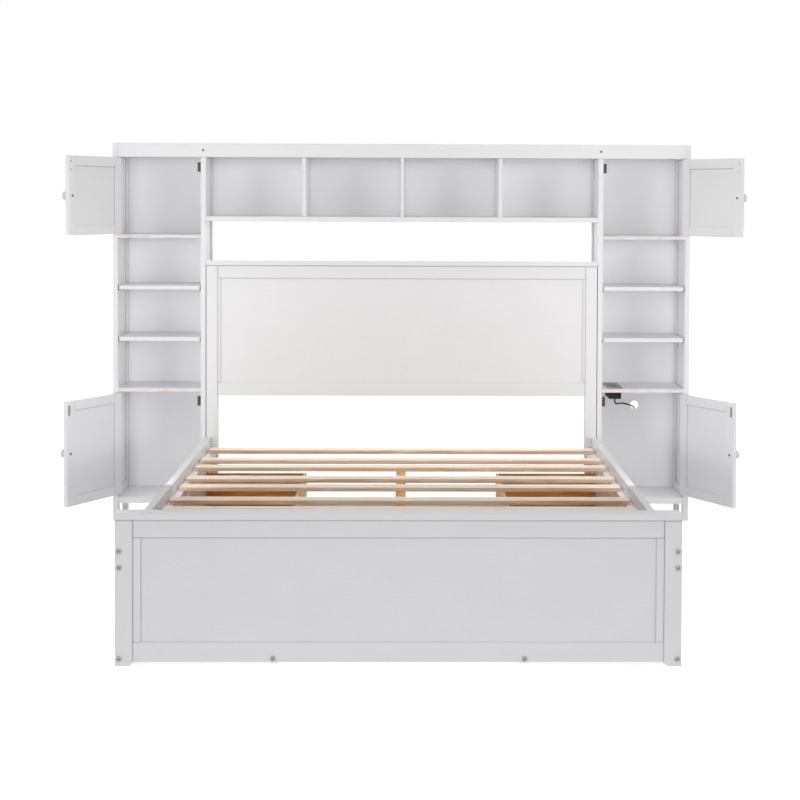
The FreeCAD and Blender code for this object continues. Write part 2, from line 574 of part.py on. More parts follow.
shelf_pins = []
fixed_shelves = []
loose_shelves = []
top_boards = [board("bridge_top", (f"-({half_bed})", half_bed), (fascia_back, back_face),
                    (top_underside, "tower_height"))]
back_panels = {}
for side, side_name in SIDE_NAMES.items():
    for where, face, into in (("inner", inner_face, -1), ("outer", outer_face, 1)):
        side_x = across(side, half_bed, inner_face) if where == "inner" else across(side, outer_face, tower_out)
        name = f"{side_name}_{where}_side"
        panel_x = (f"{side_x[0]} + (side_thickness - panel_thickness) / 2",
                   f"{side_x[0]} + (side_thickness + panel_thickness) / 2")
        frame = framed_panel(name, "yz", (head_y, tower_back), side_x, ("cabinet_floor_underside", "tower_height"),
                             ("side_stile", "side_stile"), ("side_bottom_rail", "side_top_rail"), panel_x, feet="0")
        for stile, stile_y in zip(("low_stile", "high_stile"), stile_middles):
            tools = []
            for shelf, under in LOOSE_SHELVES.items():
                tag = f"{name}_{stile}_{shelf}"
                shelf_pins.append(shelf_pin(f"{tag}_pin", side, face, into, "shelf_pin_radius", "0", stile_y, under))
                tools.append(shelf_pin(f"{tag}_hole", side, face, into, "shelf_pin_radius + pin_fit", "pin_fit",
                                       stile_y, under))
            if where == "inner" and stile == "low_stile":
                tools.append(fascia)
            frame[stile] = cut(f"{name}_{stile}_drilled", frame[stile], *tools)
        node(name, list(frame.values()))

    inside_x = across(side, inner_face, outer_face)
    inside_y = (head_y, back_face)
    fixed_shelves.append(board(f"{side_name}_cabinet_floor", inside_x, inside_y,
                               ("cabinet_floor_underside", "cabinet_floor_underside + cabinet_floor_thickness")))
    fixed_shelves.append(board(f"{side_name}_upper_floor", inside_x, inside_y,
                               (upper_floor, f"{upper_floor} + fixed_shelf_thickness")))
    lower_shelf = board(f"{side_name}_lower_shelf", inside_x, inside_y,
                        ("lower_shelf_underside", shelf_top))
    if side == RIGHT:
        box_mid = f"{inner_face} + plate_side_gap + plate_width / 2"
        plate_mid = f"{head_y} + plate_setback + plate_length / 2"
        opening = board("power_cutout",
                        (f"{box_mid} - power_box_width / 2 - cutout_slack",
                         f"{box_mid} + power_box_width / 2 + cutout_slack"),
                        (f"{plate_mid} - power_box_length / 2 - cutout_slack",
                         f"{plate_mid} + power_box_length / 2 + cutout_slack"),
                        ("lower_shelf_underside", shelf_top))
        lower_shelf = cut("right_power_shelf", lower_shelf, opening)
    fixed_shelves.append(lower_shelf)
    top_boards.append(board(f"{side_name}_top", inside_x, (fascia_back, back_face),
                            (top_underside, "tower_height")))
    back_panels[side] = board(f"{side_name}_back_blank", inside_x, (back_face, tower_back),
                              ("cabinet_floor_underside", "tower_height"))

    for shelf, under in LOOSE_SHELVES.items():
        name = f"{side_name}_{shelf}_shelf"
        near, far = f"{inner_face} + loose_shelf_gap", f"{outer_face} - loose_shelf_gap"
        front = f"{head_y} + loose_shelf_gap"
        shelf_z = (under, f"{under} + loose_shelf_thickness")
        straight = f"{front} + loose_shelf_corner"
        body = board(f"{name}_body", across(side, near, far), (straight, f"{back_face} - loose_shelf_gap"), shelf_z)
        nose = board(f"{name}_nose", across(side, f"{near} + loose_shelf_corner", f"{far} - loose_shelf_corner"),
                     (front, straight), shelf_z)
        rounds = [rod(f"{name}_{tag}_corner", "loose_shelf_corner", "loose_shelf_thickness", "+z", out(side, x),
                      straight, under)
                  for tag, x in (("near", f"{near} + loose_shelf_corner"), ("far", f"{far} - loose_shelf_corner"))]
        loose_shelves.append(fuse(name, body, nose, *rounds))

node("fixed_shelves", fixed_shelves)
node("loose_shelves", loose_shelves)
node("shelf_pins", shelf_pins)
node("left_back_panel", [back_panels[LEFT]])
tower_middle = f"({inner_face} + {outer_face}) / 2"
cable_hole = rod("cable_hole", "cable_hole_radius", "back_thickness", "+y", tower_middle, back_face,
                 "cable_hole_height")
node("right_back_panel", [cut("right_back", back_panels[RIGHT], cable_hole)])
bridge_x = (f"-({half_bed})", half_bed)
node("bridge_back_panel", [board("bridge_back", bridge_x, (back_face, tower_back),
                                 (bridge_underside, "tower_height"))])
node("top_fascia", [fascia])
node("top_boards", top_boards)
bridge_top = f"{bridge_underside} + bridge_floor_thickness"
node("bridge_floor", [board("bridge_floor_board", bridge_x, (head_y, back_face), (bridge_underside, bridge_top))])
dividers = []
divider_count = int(size("divider_count"))
for k in range(divider_count):
    middle = f"bed_width * ({k + 1} / (divider_count + 1) - 1 / 2)"
    blank = board(f"divider_{k}_blank", (f"{middle} - divider_thickness / 2", f"{middle} + divider_thickness / 2"),
                  (head_y, back_face), (bridge_top, top_underside))
    dividers.append(cut(f"divider_{k}", blank, fascia))
node("bridge_dividers", dividers)


# Hinges: a leaf on the tower with two knuckles and the pin, and a leaf on the door with the knuckle between them
def hinge_forms(side):
    """The two leaves and the pin of a hinge about +Z. side is the way that the closed door runs from its pin."""
    name = f"{SIDE_NAMES[side]}wards_hinge"
    low, high = "-hinge_height / 2", "hinge_height / 2"
    below, above = "-hinge_height / 6", "hinge_height / 6"

    def knuckle(tag, extra, z):
        return rod(f"{name}_{tag}", f"knuckle_radius + {extra}", f"({z[1]}) - ({z[0]})", "+z", "0", "0", z[0])

    bore = rod(f"{name}_bore", "hinge_pin_radius + pin_fit", "hinge_height", "+z", "0", "0", low)
    leaf_y = ("0", "leaf_width")
    tower_leaf = board(f"{name}_tower_blank", across(side, "-door_gap / 2", "-door_gap / 2 + leaf_thickness"), leaf_y,
                       (low, high))
    room = knuckle("middle_room", "knuckle_gap", (f"{below} - knuckle_gap / 2", f"{above} + knuckle_gap / 2"))
    tower_leaf = fuse(f"{name}_tower_joined", cut(f"{name}_tower_cleared", tower_leaf, room),
                      knuckle("low_knuckle", "0", (low, f"{below} - knuckle_gap / 2")),
                      knuckle("high_knuckle", "0", (f"{above} + knuckle_gap / 2", high)))
    door_leaf = board(f"{name}_door_blank", across(side, "door_gap / 2 - leaf_thickness", "door_gap / 2"), leaf_y,
                      (low, high))
    rooms = (knuckle("low_room", "knuckle_gap", (low, f"{below} + knuckle_gap / 2")),
             knuckle("high_room", "knuckle_gap", (f"{above} - knuckle_gap / 2", high)))
    door_leaf = fuse(f"{name}_door_joined", cut(f"{name}_door_cleared", door_leaf, *rooms),
                     knuckle("middle_knuckle", "0", (f"{below} + knuckle_gap / 2", f"{above} - knuckle_gap / 2")))
    return (cut(f"{name}_tower_leaf", tower_leaf, bore), cut(f"{name}_door_leaf", door_leaf, bore),
            rod(f"{name}_pin", "hinge_pin_radius", "hinge_height", "+z", "0", "0", low))


# Doors: each is drawn closed round its hinge axis and then turned to where it stands
HINGES = {side: hinge_forms(side) for side in SIDE_NAMES}
DOOR_LIMITS = {
    "upper": (f"{upper_floor} + fixed_shelf_thickness + door_gap", f"{fascia_underside} - door_gap"),
    "lower": ("cabinet_floor_underside + cabinet_floor_thickness + door_bottom_gap",
              "lower_shelf_underside - door_gap"),
}
axis_x = f"{outer_face} - door_gap / 2"
axis_y = f"{head_y} - knuckle_radius"
door_start = "door_gap / 2"
door_end = f"({outer_face}) - ({inner_face}) - 3 * door_gap / 2"
door_front = "knuckle_radius"
door_back = "knuckle_radius + door_thickness"
tower_hinges, catches = [], []
for side, side_name in SIDE_NAMES.items():
    run = -side
    for level, (bottom, top) in DOOR_LIMITS.items():
        name = f"{level}_{side_name}_door"
        middle = f"(({bottom}) + ({top})) / 2"
        half = f"(({top}) - ({bottom})) / 2"

        def hung(label, members):
            """A sub-part that swings with this door."""
            turned = place(node(label, members), out(side, axis_x), axis_y, middle)
            return bind(turned, **{"Placement.Rotation.Angle": out(side, f"{level}_{side_name}_angle")})

        frame = framed_panel(
            name, "xz", across(run, door_start, door_end), (door_front, door_back), (f"-{half}", half),
            ("door_stile", "door_stile"), ("door_rail", "door_rail"),
            (f"{door_front} + door_panel_setback", f"{door_front} + door_panel_setback + door_panel_thickness"))
        knob_x = out(run, f"{door_end} - knob_inset")
        screw_hole = rod(f"{name}_screw_hole", "knob_screw_radius + screw_fit",
                         "door_thickness + knob_screw_bite + screw_fit", "-y", knob_x, door_back, "0")
        free = "high_stile" if run > 0 else "low_stile"
        frame[free] = cut(f"{name}_free_stile", frame[free], screw_hole)
        hung(name, list(frame.values()))

        neck = cone(f"{name}_knob_neck", "knob_foot_radius", "knob_neck_radius", "knob_length - knob_half_head", "-y",
                    knob_x, door_front, "0")
        bulb = doc.addObject("Part::Ellipsoid", f"{name}_knob_head")
        bulb.Placement = Placement(Vector(), TURNS["-y"])
        bind(bulb, Radius1="knob_half_head", Radius2="knob_radius", Radius3="knob_radius")
        place(bulb, knob_x, f"{door_front} - knob_length + knob_half_head", "0")
        hung(f"{level}_{side_name}_knob", [cut(f"{name}_knob_turned", fuse(f"{name}_knob_blank", neck, bulb),
                                               screw_hole)])

        shank = rod(f"{name}_screw_shank", "knob_screw_radius", "door_thickness + knob_screw_bite", "-y", knob_x,
                    door_back, "0")
        head = rod(f"{name}_screw_head", "knob_screw_head", "knob_screw_head_height", "+y", knob_x, door_back, "0")
        hardware = [fuse(f"{name}_knob_screw", shank, head)]
        strike_mid = f"{half} - strike_drop - strike_height / 2"
        strike_far = f"{door_end} - strike_inset"
        if level == "upper":
            for tag, rise in (("low", "-stud_spacing / 2"), ("high", "stud_spacing / 2")):
                hardware.append(rod(f"{name}_{tag}_stud", "stud_radius", "strike_thickness", "+y",
                                    out(run, f"{strike_far} - strike_width / 2"), door_back,
                                    f"{strike_mid} + {rise}"))
        else:
            hardware.append(board(f"{name}_strike", across(run, f"{strike_far} - strike_width", strike_far),
                                  (door_back, f"{door_back} + strike_thickness"),
                                  (f"{strike_mid} - strike_height / 2", f"{strike_mid} + strike_height / 2")))
        catch_y = f"{axis_y} + {door_back} + strike_thickness + catch_gap"
        catches.append(board(f"{name}_catch", across(side, inner_face, f"{inner_face} + catch_width"),
                             (catch_y, f"{catch_y} + catch_depth"),
                             (f"{middle} + {strike_mid} - catch_height / 2",
                              f"{middle} + {strike_mid} + catch_height / 2")))

        tower_leaf, door_leaf, pin = HINGES[run]
        for tag, rise in (("low", f"hinge_inset - {half}"), ("high", f"{half} - hinge_inset")):
            hardware.append(place(group(f"{name}_{tag}_door_leaf", [door_leaf]), "0", "0", rise))
            tower_hinges.append(place(group(f"{name}_{tag}_tower_leaf", [tower_leaf, pin]), out(side, axis_x), axis_y,
                                      f"{middle} + {rise}"))
        hung(f"{level}_{side_name}_hardware", hardware)
node("magnetic_catches", catches)
node("hinge_tower_leaves", tower_hinges)

# Power unit in the right tower's lower shelf
plate_top = f"{shelf_top} + plate_thickness"
box_underside = "lower_shelf_underside - power_box_drop"


def centred(middle, width):
    """Limits of a width about a middle."""
    return (f"{middle} - ({width}) / 2", f"{middle} + ({width}) / 2")


socket_z = (f"{plate_top} + socket_rise - socket_depth", f"{plate_top} + socket_rise")
slot_z = (f"{plate_top} + socket_rise - slot_depth", f"{plate_top} + socket_rise")
sockets, socket_blanks = [], []
for tag, step in (("front", -1), ("middle", 0)):
    socket_y = f"{plate_mid} + {step} * socket_spacing"
    blank = board(f"{tag}_socket_blank", centred(box_mid, "socket_size"), centred(socket_y, "socket_size"), socket_z)
    slots = [board(f"{tag}_socket_{name}_slot", centred(f"{box_mid} + {sign} * slot_spacing / 2", "slot_width"),
                   centred(socket_y, "slot_length"), slot_z) for name, sign in (("live", 1), ("neutral", -1))]
    earth = rod(f"{tag}_socket_earth", "earth_radius", "slot_depth", "-z", box_mid, f"{socket_y} - earth_offset",
                slot_z[1])
    socket_blanks.append(blank)
    sockets.append(cut(f"{tag}_socket", blank, *slots, earth))
usb_y = f"{plate_mid} + socket_spacing"
usb_blank = board("usb_blank", centred(box_mid, "socket_size"), centred(usb_y, "usb_length"), socket_z)
ports = []
for name, sign in (("left", -1), ("right", 1)):
    port_x = f"{box_mid} + {sign} * port_spacing / 2"
    hollow = board(f"{name}_port_hollow", centred(port_x, "port_width"), centred(usb_y, "port_length"), slot_z)
    tongue = board(f"{name}_port_tongue", centred(port_x, "tongue_width"),
                   centred(usb_y, "port_length - 2 * tongue_width"),
                   (slot_z[0], f"{slot_z[1]} - tongue_width"))
    ports.append(cut(f"{name}_port", hollow, tongue))
socket_blanks.append(usb_blank)
sockets.append(cut("usb_socket", usb_blank, *ports))
plate_blank = board("power_plate_blank", centred(box_mid, "plate_width"), centred(plate_mid, "plate_length"),
                    (shelf_top, plate_top))
node("power_plate", [cut("power_plate_face", plate_blank, *socket_blanks)])
node("power_sockets", sockets)
box_outside = board("power_box_outside", centred(box_mid, "power_box_width"), centred(plate_mid, "power_box_length"),
                    (box_underside, shelf_top))
box_inside = board("power_box_inside", centred(box_mid, "power_box_width - 2 * power_box_wall"),
                   centred(plate_mid, "power_box_length - 2 * power_box_wall"),
                   (f"{box_underside} + power_box_wall", shelf_top))
node("power_box", [cut("power_box_shell", box_outside, box_inside)])
cord_y = f"{plate_mid} - power_box_length / 2 + cord_setback"
node("cord_grommet", [cone("cord_grommet_form", "grommet_radius", "cord_diameter / 2 + grommet_lip", "grommet_height", "-z",
                           box_mid, cord_y, box_underside)])

# The lead's route from the grommet through the back panel to the floor, where its coil lies. It is drawn for the
# sizes above, and bends after its ends and the cable hole when they move
DRAWN_HOLE = Vector(1001, 1283, 451)
HOLE_POINT = 10
LEAD_POINTS = (
    (891.5, 1085, 500), (891.5, 1085, 493.5), (892.6, 1087, 487.4), (894.7, 1090.9, 482.6), (897.9, 1096.7, 479.2),
    (903.6, 1107.1, 477.1), (914, 1126.4, 476.6), (932, 1159.5, 473), (953, 1198.1, 466), (973.7, 1235.8, 456),
    (997, 1278, 445), (1008, 1310, 426), (1014, 1326, 392), (1017, 1331, 340), (1018.5, 1332.5, 270),
    (1019, 1333, 195), (1017.5, 1332, 122), (1011, 1330, 62), (998, 1328, 26), (968, 1325.6, 6.8), (937, 1325, 4.8),
    (911, 1325, 4.8),
)
ARC_SHARE = 0.45
cord_radius = size("cord_diameter") / 2
coil_pitch = size("cord_diameter") + size("coil_gap")
coil_turns = size("coil_turns")
coil_low = size("tie_thickness") + size("tie_gap") + cord_radius
coil_inner = size("coil_radius") - coil_pitch * coil_turns / 4
coil_outer = size("coil_radius") + coil_pitch * coil_turns / 4
box_at = size("bed_width") / 2 + size("side_thickness") + size("plate_side_gap") + size("plate_width") / 2
head_at = (size("mattress_length") + size("mattress_slack")) / 2
back_at = head_at + size("tower_depth")
grommet_mouth = Vector(box_at, head_at + size("plate_setback") + (size("plate_length") - size("power_box_length")) / 2
                       + size("cord_setback"),
                       size("lower_shelf_underside") - size("power_box_drop") - size("grommet_height"))
hole_middle = Vector((size("bed_width") + size("tower_width")) / 2, back_at, size("cable_hole_height"))
coil_middle = Vector(box_at + size("coil_side_shift"), back_at + size("coil_back_shift"), 0)
coil_start = coil_middle + Vector(0, coil_outer, coil_low)
coil_end = coil_start + Vector(0, 0, coil_pitch)
lead_end = coil_start + Vector(size("coil_lead_in"), 0, 0)


def steered(points):
    """The drawn points, each moved with the grommet, the cable hole and the coil by how near it is to them."""
    drawn = [Vector(*point) for point in points]
    last = len(drawn) - 1
    moves = grommet_mouth - drawn[0], hole_middle - DRAWN_HOLE, lead_end - drawn[last]
    moved = []
    for k, point in enumerate(drawn):
        if k <= HOLE_POINT:
            share = k / HOLE_POINT
            moved.append(point + moves[0] * (1 - share) + moves[1] * share)
        else:
            share = (k - HOLE_POINT) / (last - HOLE_POINT)
            moved.append(point + moves[1] * (1 - share) + moves[2] * share)
    return moved


def lead_path(points):
    """Straight runs joined by tangent arcs, and the arcs' radii."""
    edges, radii = [], []
    here = points[0]
    for before, corner, after in zip(points, points[1:], points[2:]):
        back, ahead = before - corner, after - corner
        turn = math.pi - back.getAngle(ahead)
        trim = ARC_SHARE * min(back.Length, ahead.Length)
        radius = trim / math.tan(turn / 2)
        start = corner + back.normalize() * trim
        finish = corner + ahead.normalize() * trim
        inward = (start + finish) / 2 - corner
        reach = math.hypot(radius, trim)
        middle = corner + inward.normalize() * (reach - radius)
        edges.append(Part.LineSegment(here, start).toShape())
        edges.append(Part.Arc(start, middle, finish).toShape())
        radii.append(radius)
        here = finish
    edges.append(Part.LineSegment(here, points[-1]).toShape())
    return edges, radii


def coil_node(turn):
    """A point of the coil and its direction, turn turns from its start."""
    middle = coil_turns / 2
    angle = math.pi / 2 + 2 * math.pi * turn
    radius = coil_inner + coil_pitch * abs(turn - middle)
    step = 0.0 if turn in (0, middle, coil_turns) else math.copysign(coil_pitch, turn - middle)
    climb = min(max((turn - middle) * 2 + 0.5, 0.0), 1.0)
    height = coil_low + coil_pitch * climb * climb * (3 - 2 * climb)
    rise = coil_pitch * 6 * climb * (1 - climb) * 2
    outward = Vector(math.cos(angle), math.sin(angle), 0)
    along = Vector(-math.sin(angle), math.cos(angle), 0)
    spot = coil_middle + outward * radius + Vector(0, 0, height)
    return spot, (along * (2 * math.pi * radius) + outward * step + Vector(0, 0, rise)).normalize()


def tangent_arc(start, direction, finish):
    """An arc that leaves a point in a direction and ends at another point."""
    chord = finish - start
    lean = direction.getAngle(chord)
    unit = Vector(chord).normalize()
    bulge = direction - unit * direction.dot(unit)
    middle = (start + finish) / 2 + bulge.normalize() * (chord.Length / 2 * math.tan(lean / 2))
    return Part.Arc(start, middle, finish).toShape()


def coil_path():
    """A straight lead-in, two arcs to each quarter turn and a straight tail."""
    edges = [Part.LineSegment(lead_end, coil_start).toShape()]
    stops = [coil_node(quarter / 4) for quarter in range(int(coil_turns * 4) + 1)]
    for (start, leave), (finish, arrive) in zip(stops, stops[1:]):
        span = finish - start
        both = leave + arrive
        spread = 2 * (1 - leave.dot(arrive))
        reach = (math.sqrt(span.dot(both) ** 2 + spread * span.dot(span)) - span.dot(both)) / spread
        join = (start + finish + (leave - arrive) * reach) / 2
        turned = (span - both * reach).normalize()
        edges.append(tangent_arc(start, leave, join))
        edges.append(tangent_arc(join, turned, finish))
    edges.append(Part.LineSegment(coil_end, coil_end - Vector(size("coil_tail"), 0, 0)).toShape())
    return edges


def tube(name, edges):
    """A round tube along tangent edges."""
    path = Part.Wire(edges)
    start = edges[0].valueAt(edges[0].FirstParameter)
    ring = Part.Wire(Part.makeCircle(cord_radius, start, edges[0].tangentAt(edges[0].FirstParameter)))
    feature = doc.addObject("Part::Feature", name)
    feature.Shape = path.makePipeShell([ring], True, False)
    feature.Placement = Placement()
    expected = math.pi * cord_radius ** 2 * path.Length
    print(f"{name}: length {path.Length:.1f}, volume {feature.Shape.Volume:.1f} of {expected:.1f}")
    return feature


lead_edges, lead_radii = lead_path(steered(LEAD_POINTS))
print("cord_lead: radii", " ".join(f"{radius:.0f}" for radius in lead_radii))
node("cord_lead", [tube("cord_lead_tube", lead_edges)])
coil_edges = coil_path()
node("cord_coil", [tube("cord_coil_tube", coil_edges)])
coil_points = Part.Wire(coil_edges).discretize(Distance=1.0)
clear_steps = int(3 * size("cord_diameter"))
least = min((a - b).Length for i, a in enumerate(coil_points) for b in coil_points[i + clear_steps:])
print(f"cord_coil: least gap to itself {least - 2 * cord_radius:.2f}")

# Tie round one side of the coil, and the plug at the cord's end
coil_x = f"{box_mid} + coil_side_shift"
coil_y = f"{tower_back} + coil_back_shift"
coil_rows = "(cord_diameter + coil_gap) * (coil_turns - 1) / 2"
inner_row = "coil_radius - (cord_diameter + coil_gap) * coil_turns / 4"
tie_near = f"{coil_y} - ({inner_row}) + cord_diameter / 2 + tie_gap"
tie_far = f"{coil_y} - ({inner_row}) - ({coil_rows}) - cord_diameter / 2 - tie_gap"
tie_high = "tie_thickness + 2 * tie_gap + 2 * cord_diameter + coil_gap"
band = board("tie_band", centred(coil_x, "tie_width"), (f"{tie_far} - tie_thickness", f"{tie_near} + tie_thickness"),
             ("0", f"{tie_high} + tie_thickness"))
band_room = board("tie_room", centred(coil_x, "tie_width"), (tie_far, tie_near), ("tie_thickness", tie_high))
node("cord_tie", [cut("tie_loop", band, band_room)])
plug_y = f"{coil_y} + coil_radius + (cord_diameter + coil_gap) * coil_turns / 4"
plug_z = "tie_thickness + tie_gap + 3 * cord_diameter / 2 + coil_gap"
relief_start = f"{coil_x} - coil_tail"
plug_start = f"{relief_start} - relief_length"
plug_end = f"{plug_start} - plug_length"
relief = cone("plug_relief", "cord_diameter / 2 + relief_lip", "relief_radius", "relief_length", "-x", relief_start, plug_y,
              plug_z)
plug_body = board("plug_body", (plug_end, plug_start), centred(plug_y, "plug_width"), ("0", f"2 * ({plug_z})"))
blades = [board(f"plug_{name}_blade", (f"{plug_end} - blade_length", plug_end),
                centred(f"{plug_y} + {sign} * blade_spacing / 2", "blade_thickness"), centred(plug_z, "blade_width"))
          for name, sign in (("live", 1), ("neutral", -1))]
node("mains_plug", [fuse("plug_moulding", relief, plug_body), *blades])

# Every object is made and every sub-part sound before anything is written
doc.recompute()
for thing in doc.Objects:
    if "Invalid" in thing.State or "Error" in thing.State:
        raise RuntimeError(f"{thing.Name} failed: {thing.State}")
for part in nodes:
    if part.Shape.isNull() or not part.Shape.isValid() or not part.Shape.Solids:
        raise RuntimeError(f"{part.Label} has no sound shape")
os.makedirs("parts", exist_ok=True)
for part in nodes:
    part.Shape.exportStep(os.path.join("parts", f"{part.Label}.step"))
print(f"{len(nodes)} sub-parts, {sum(len(part.Shape.Solids) for part in nodes)} solids")
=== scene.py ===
"""A white queen bed between two cabinet towers, dressed for a plain studio picture.

Lengths are metres, except in names that end in _mm. The frame is the model's own: +X to the right seen from the
foot end, +Y from foot to head, +Z up, with the origin on the floor under the middle of the bed.
"""
import logging
import math
import random
from dataclasses import dataclass, field
from enum import Enum, IntEnum
from typing import Any, Callable, Iterable, Sequence

import bmesh
import bpy
import numpy as np
from mathutils import Matrix, Vector


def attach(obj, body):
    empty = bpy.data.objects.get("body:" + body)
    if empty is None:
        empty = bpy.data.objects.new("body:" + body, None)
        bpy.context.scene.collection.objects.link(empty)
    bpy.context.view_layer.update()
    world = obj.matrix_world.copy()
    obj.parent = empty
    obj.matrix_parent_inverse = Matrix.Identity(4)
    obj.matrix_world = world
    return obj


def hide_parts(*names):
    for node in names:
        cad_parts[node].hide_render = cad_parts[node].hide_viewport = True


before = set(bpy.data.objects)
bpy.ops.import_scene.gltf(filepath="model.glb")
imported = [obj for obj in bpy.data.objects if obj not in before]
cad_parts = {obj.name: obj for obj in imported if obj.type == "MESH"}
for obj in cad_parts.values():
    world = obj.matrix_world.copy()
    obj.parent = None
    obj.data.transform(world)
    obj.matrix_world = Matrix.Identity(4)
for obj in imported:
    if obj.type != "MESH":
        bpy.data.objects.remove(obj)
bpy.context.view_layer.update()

# what feeds a shader's inputs, a solid's triangles, and what gives a face's material from its middle and normal
Feeds = dict[str, bpy.types.NodeSocket]
Triangles = list[tuple[Vector, Vector, Vector]]
FaceRule = Callable[[Vector, Vector], int]

log = logging.getLogger("bed")
ROOT = "bed_and_towers"
MM = 0.001
# corners nearer than a micrometre are one, and doubles are welded within two
GRID = 1e-6
WELD = 2e-6
# facets that turn less than the first angle are one face, and edges that turn more than the second are eased
FLAT_TURN = math.radians(1.5)
SHARP_TURN = math.radians(32)
# a face looks along an axis when its normal has this share of it
ALONG_AXIS = 0.9
# faces round a nut or a screw head
SMALL_STEPS = 24


class Seed(IntEnum):
    """Where the chance shifts of each group's grain start."""

    FRAME = 0
    SLATS = 7
    TOWERS = 20
    BACKS = 40
    FIXED_SHELVES = 45
    SMALL_FITTINGS = 46
    BARE_BOARDS = 50
    POWER_UNIT = 60
    CORD_TIE = 61
    PLUG = 62
    DRAWERS = 80
    DOORS = 100


class Side(Enum):
    """The two sides of the bed, with the sign of their X."""

    LEFT = -1
    RIGHT = 1


class Level(Enum):
    """The two doors of a tower, with the lowest and highest edge of each in millimetres."""

    UPPER = (1185.0, 1500.0)
    LOWER = (112.0, 531.0)


# Node trees


def linear(code: str) -> tuple[float, float, float, float]:
    """Turn an sRGB hex colour into linear red, green, blue and alpha.

    Args:
        code: six hex digits with a leading #.

    Returns:
        The linear colour, fully opaque.
    """
    parts = [int(code[k:k + 2], 16) / 255 for k in (1, 3, 5)]
    flat = [c / 12.92 if c <= 0.04045 else ((c + 0.055) / 1.055) ** 2.4 for c in parts]
    return (flat[0], flat[1], flat[2], 1.0)


def add(tree: bpy.types.NodeTree, kind: str, inputs: dict[Any, Any] | None = None, **settings: Any) -> bpy.types.Node:
    """Add a node with its settings, and its inputs set or linked.

    Args:
        tree: the node tree.
        kind: the node's type name.
        inputs: input name or number to a value or to another node's output.
        **settings: the node's own properties.

    Returns:
        The new node.
    """
    node = tree.nodes.new(kind)
    for name, value in settings.items():
        setattr(node, name, value)
    for key, value in (inputs or {}).items():
        if isinstance(value, bpy.types.NodeSocket):
            tree.links.new(value, node.inputs[key])
        else:
            node.inputs[key].default_value = value
    return node


def per_metre(size_mm: float) -> float:
    """Texture scale that repeats about once in a size."""
    return 1.0 / (size_mm * MM)


def maths(tree: bpy.types.NodeTree, operation: str, *values: Any) -> bpy.types.NodeSocket:
    """Add a sum or the like of numbers and outputs, and give its output."""
    return add(tree, "ShaderNodeMath", dict(enumerate(values)), operation=operation).outputs[0]


def stretched(tree: bpy.types.NodeTree, place: bpy.types.NodeSocket,
              scale: tuple[float, float, float]) -> bpy.types.NodeSocket:
    """Add a mapping that scales where a texture is read, and give its output."""
    return add(tree, "ShaderNodeMapping", {"Vector": place, "Scale": scale}).outputs[0]


def noise(tree: bpy.types.NodeTree, place: bpy.types.NodeSocket, size_mm: float, detail: float = 2.0,
          **more: float) -> bpy.types.NodeSocket:
    """Add noise with features of about a size.

    Args:
        tree: the node tree.
        place: where the noise is read.
        size_mm: the size of its features.
        detail: how much finer noise lies on it.
        **more: its other inputs.

    Returns:
        The noise, from 0 to 1.
    """
    inputs = {"Vector": place, "Scale": per_metre(size_mm), "Detail": detail, **more}
    return add(tree, "ShaderNodeTexNoise", inputs).outputs["Fac"]


def spread(tree: bpy.types.NodeTree, value: bpy.types.NodeSocket, start: tuple[float, float] = (0.0, 1.0),
           end: tuple[float, float] = (0.0, 1.0)) -> bpy.types.NodeSocket:
    """Stretch one range of a value over another.

    Args:
        tree: the node tree.
        value: the value.
        start: the range that is stretched.
        end: what its two ends become.

    Returns:
        The new value, which stays between those ends.
    """
    inputs = {"Value": value, "From Min": start[0], "From Max": start[1], "To Min": end[0], "To Max": end[1]}
    return add(tree, "ShaderNodeMapRange", inputs).outputs[0]


def blend(tree: bpy.types.NodeTree, share: bpy.types.NodeSocket, low: Any, high: Any) -> bpy.types.NodeSocket:
    """Mix two colours.

    Args:
        tree: the node tree.
        share: how much of the second colour there is.
        low: the first colour, or an output that gives it.
        high: the second.

    Returns:
        The mixed colour.
    """
    return add(tree, "ShaderNodeMix", {0: share, 6: low, 7: high}, data_type="RGBA").outputs[2]


def bumps(tree: bpy.types.NodeTree, height: bpy.types.NodeSocket, strength: float,
          depth_mm: float) -> bpy.types.NodeSocket:
    """Add a bump map of a depth, and give its normal."""
    return add(tree, "ShaderNodeBump", {"Height": height, "Strength": strength, "Distance": depth_mm * MM}).outputs[0]


# Finishes


@dataclass(frozen=True)
class Finish:
    """What every surface has: a name, a colour and a gloss."""

    name: str
    colour: str
    roughness: float
    metallic: float = 0.0
    specular: float = 0.5

    def make(self) -> bpy.types.Material:
        """Make the material.

        Returns:
            The finished material.
        """
        material = bpy.data.materials.new(self.name)
        material.use_nodes = True
        tree = material.node_tree
        shader = tree.nodes["Principled BSDF"]
        shader.inputs["Base Color"].default_value = linear(self.colour)
        shader.inputs["Roughness"].default_value = self.roughness
        shader.inputs["Metallic"].default_value = self.metallic
        shader.inputs["Specular IOR Level"].default_value = self.specular
        for name, output in self.pattern(tree).items():
            tree.links.new(output, shader.inputs[name])
        return material

    def pattern(self, tree: bpy.types.NodeTree) -> Feeds:
        """What the surface shows besides its plain values, by the shader's inputs."""
        return {}


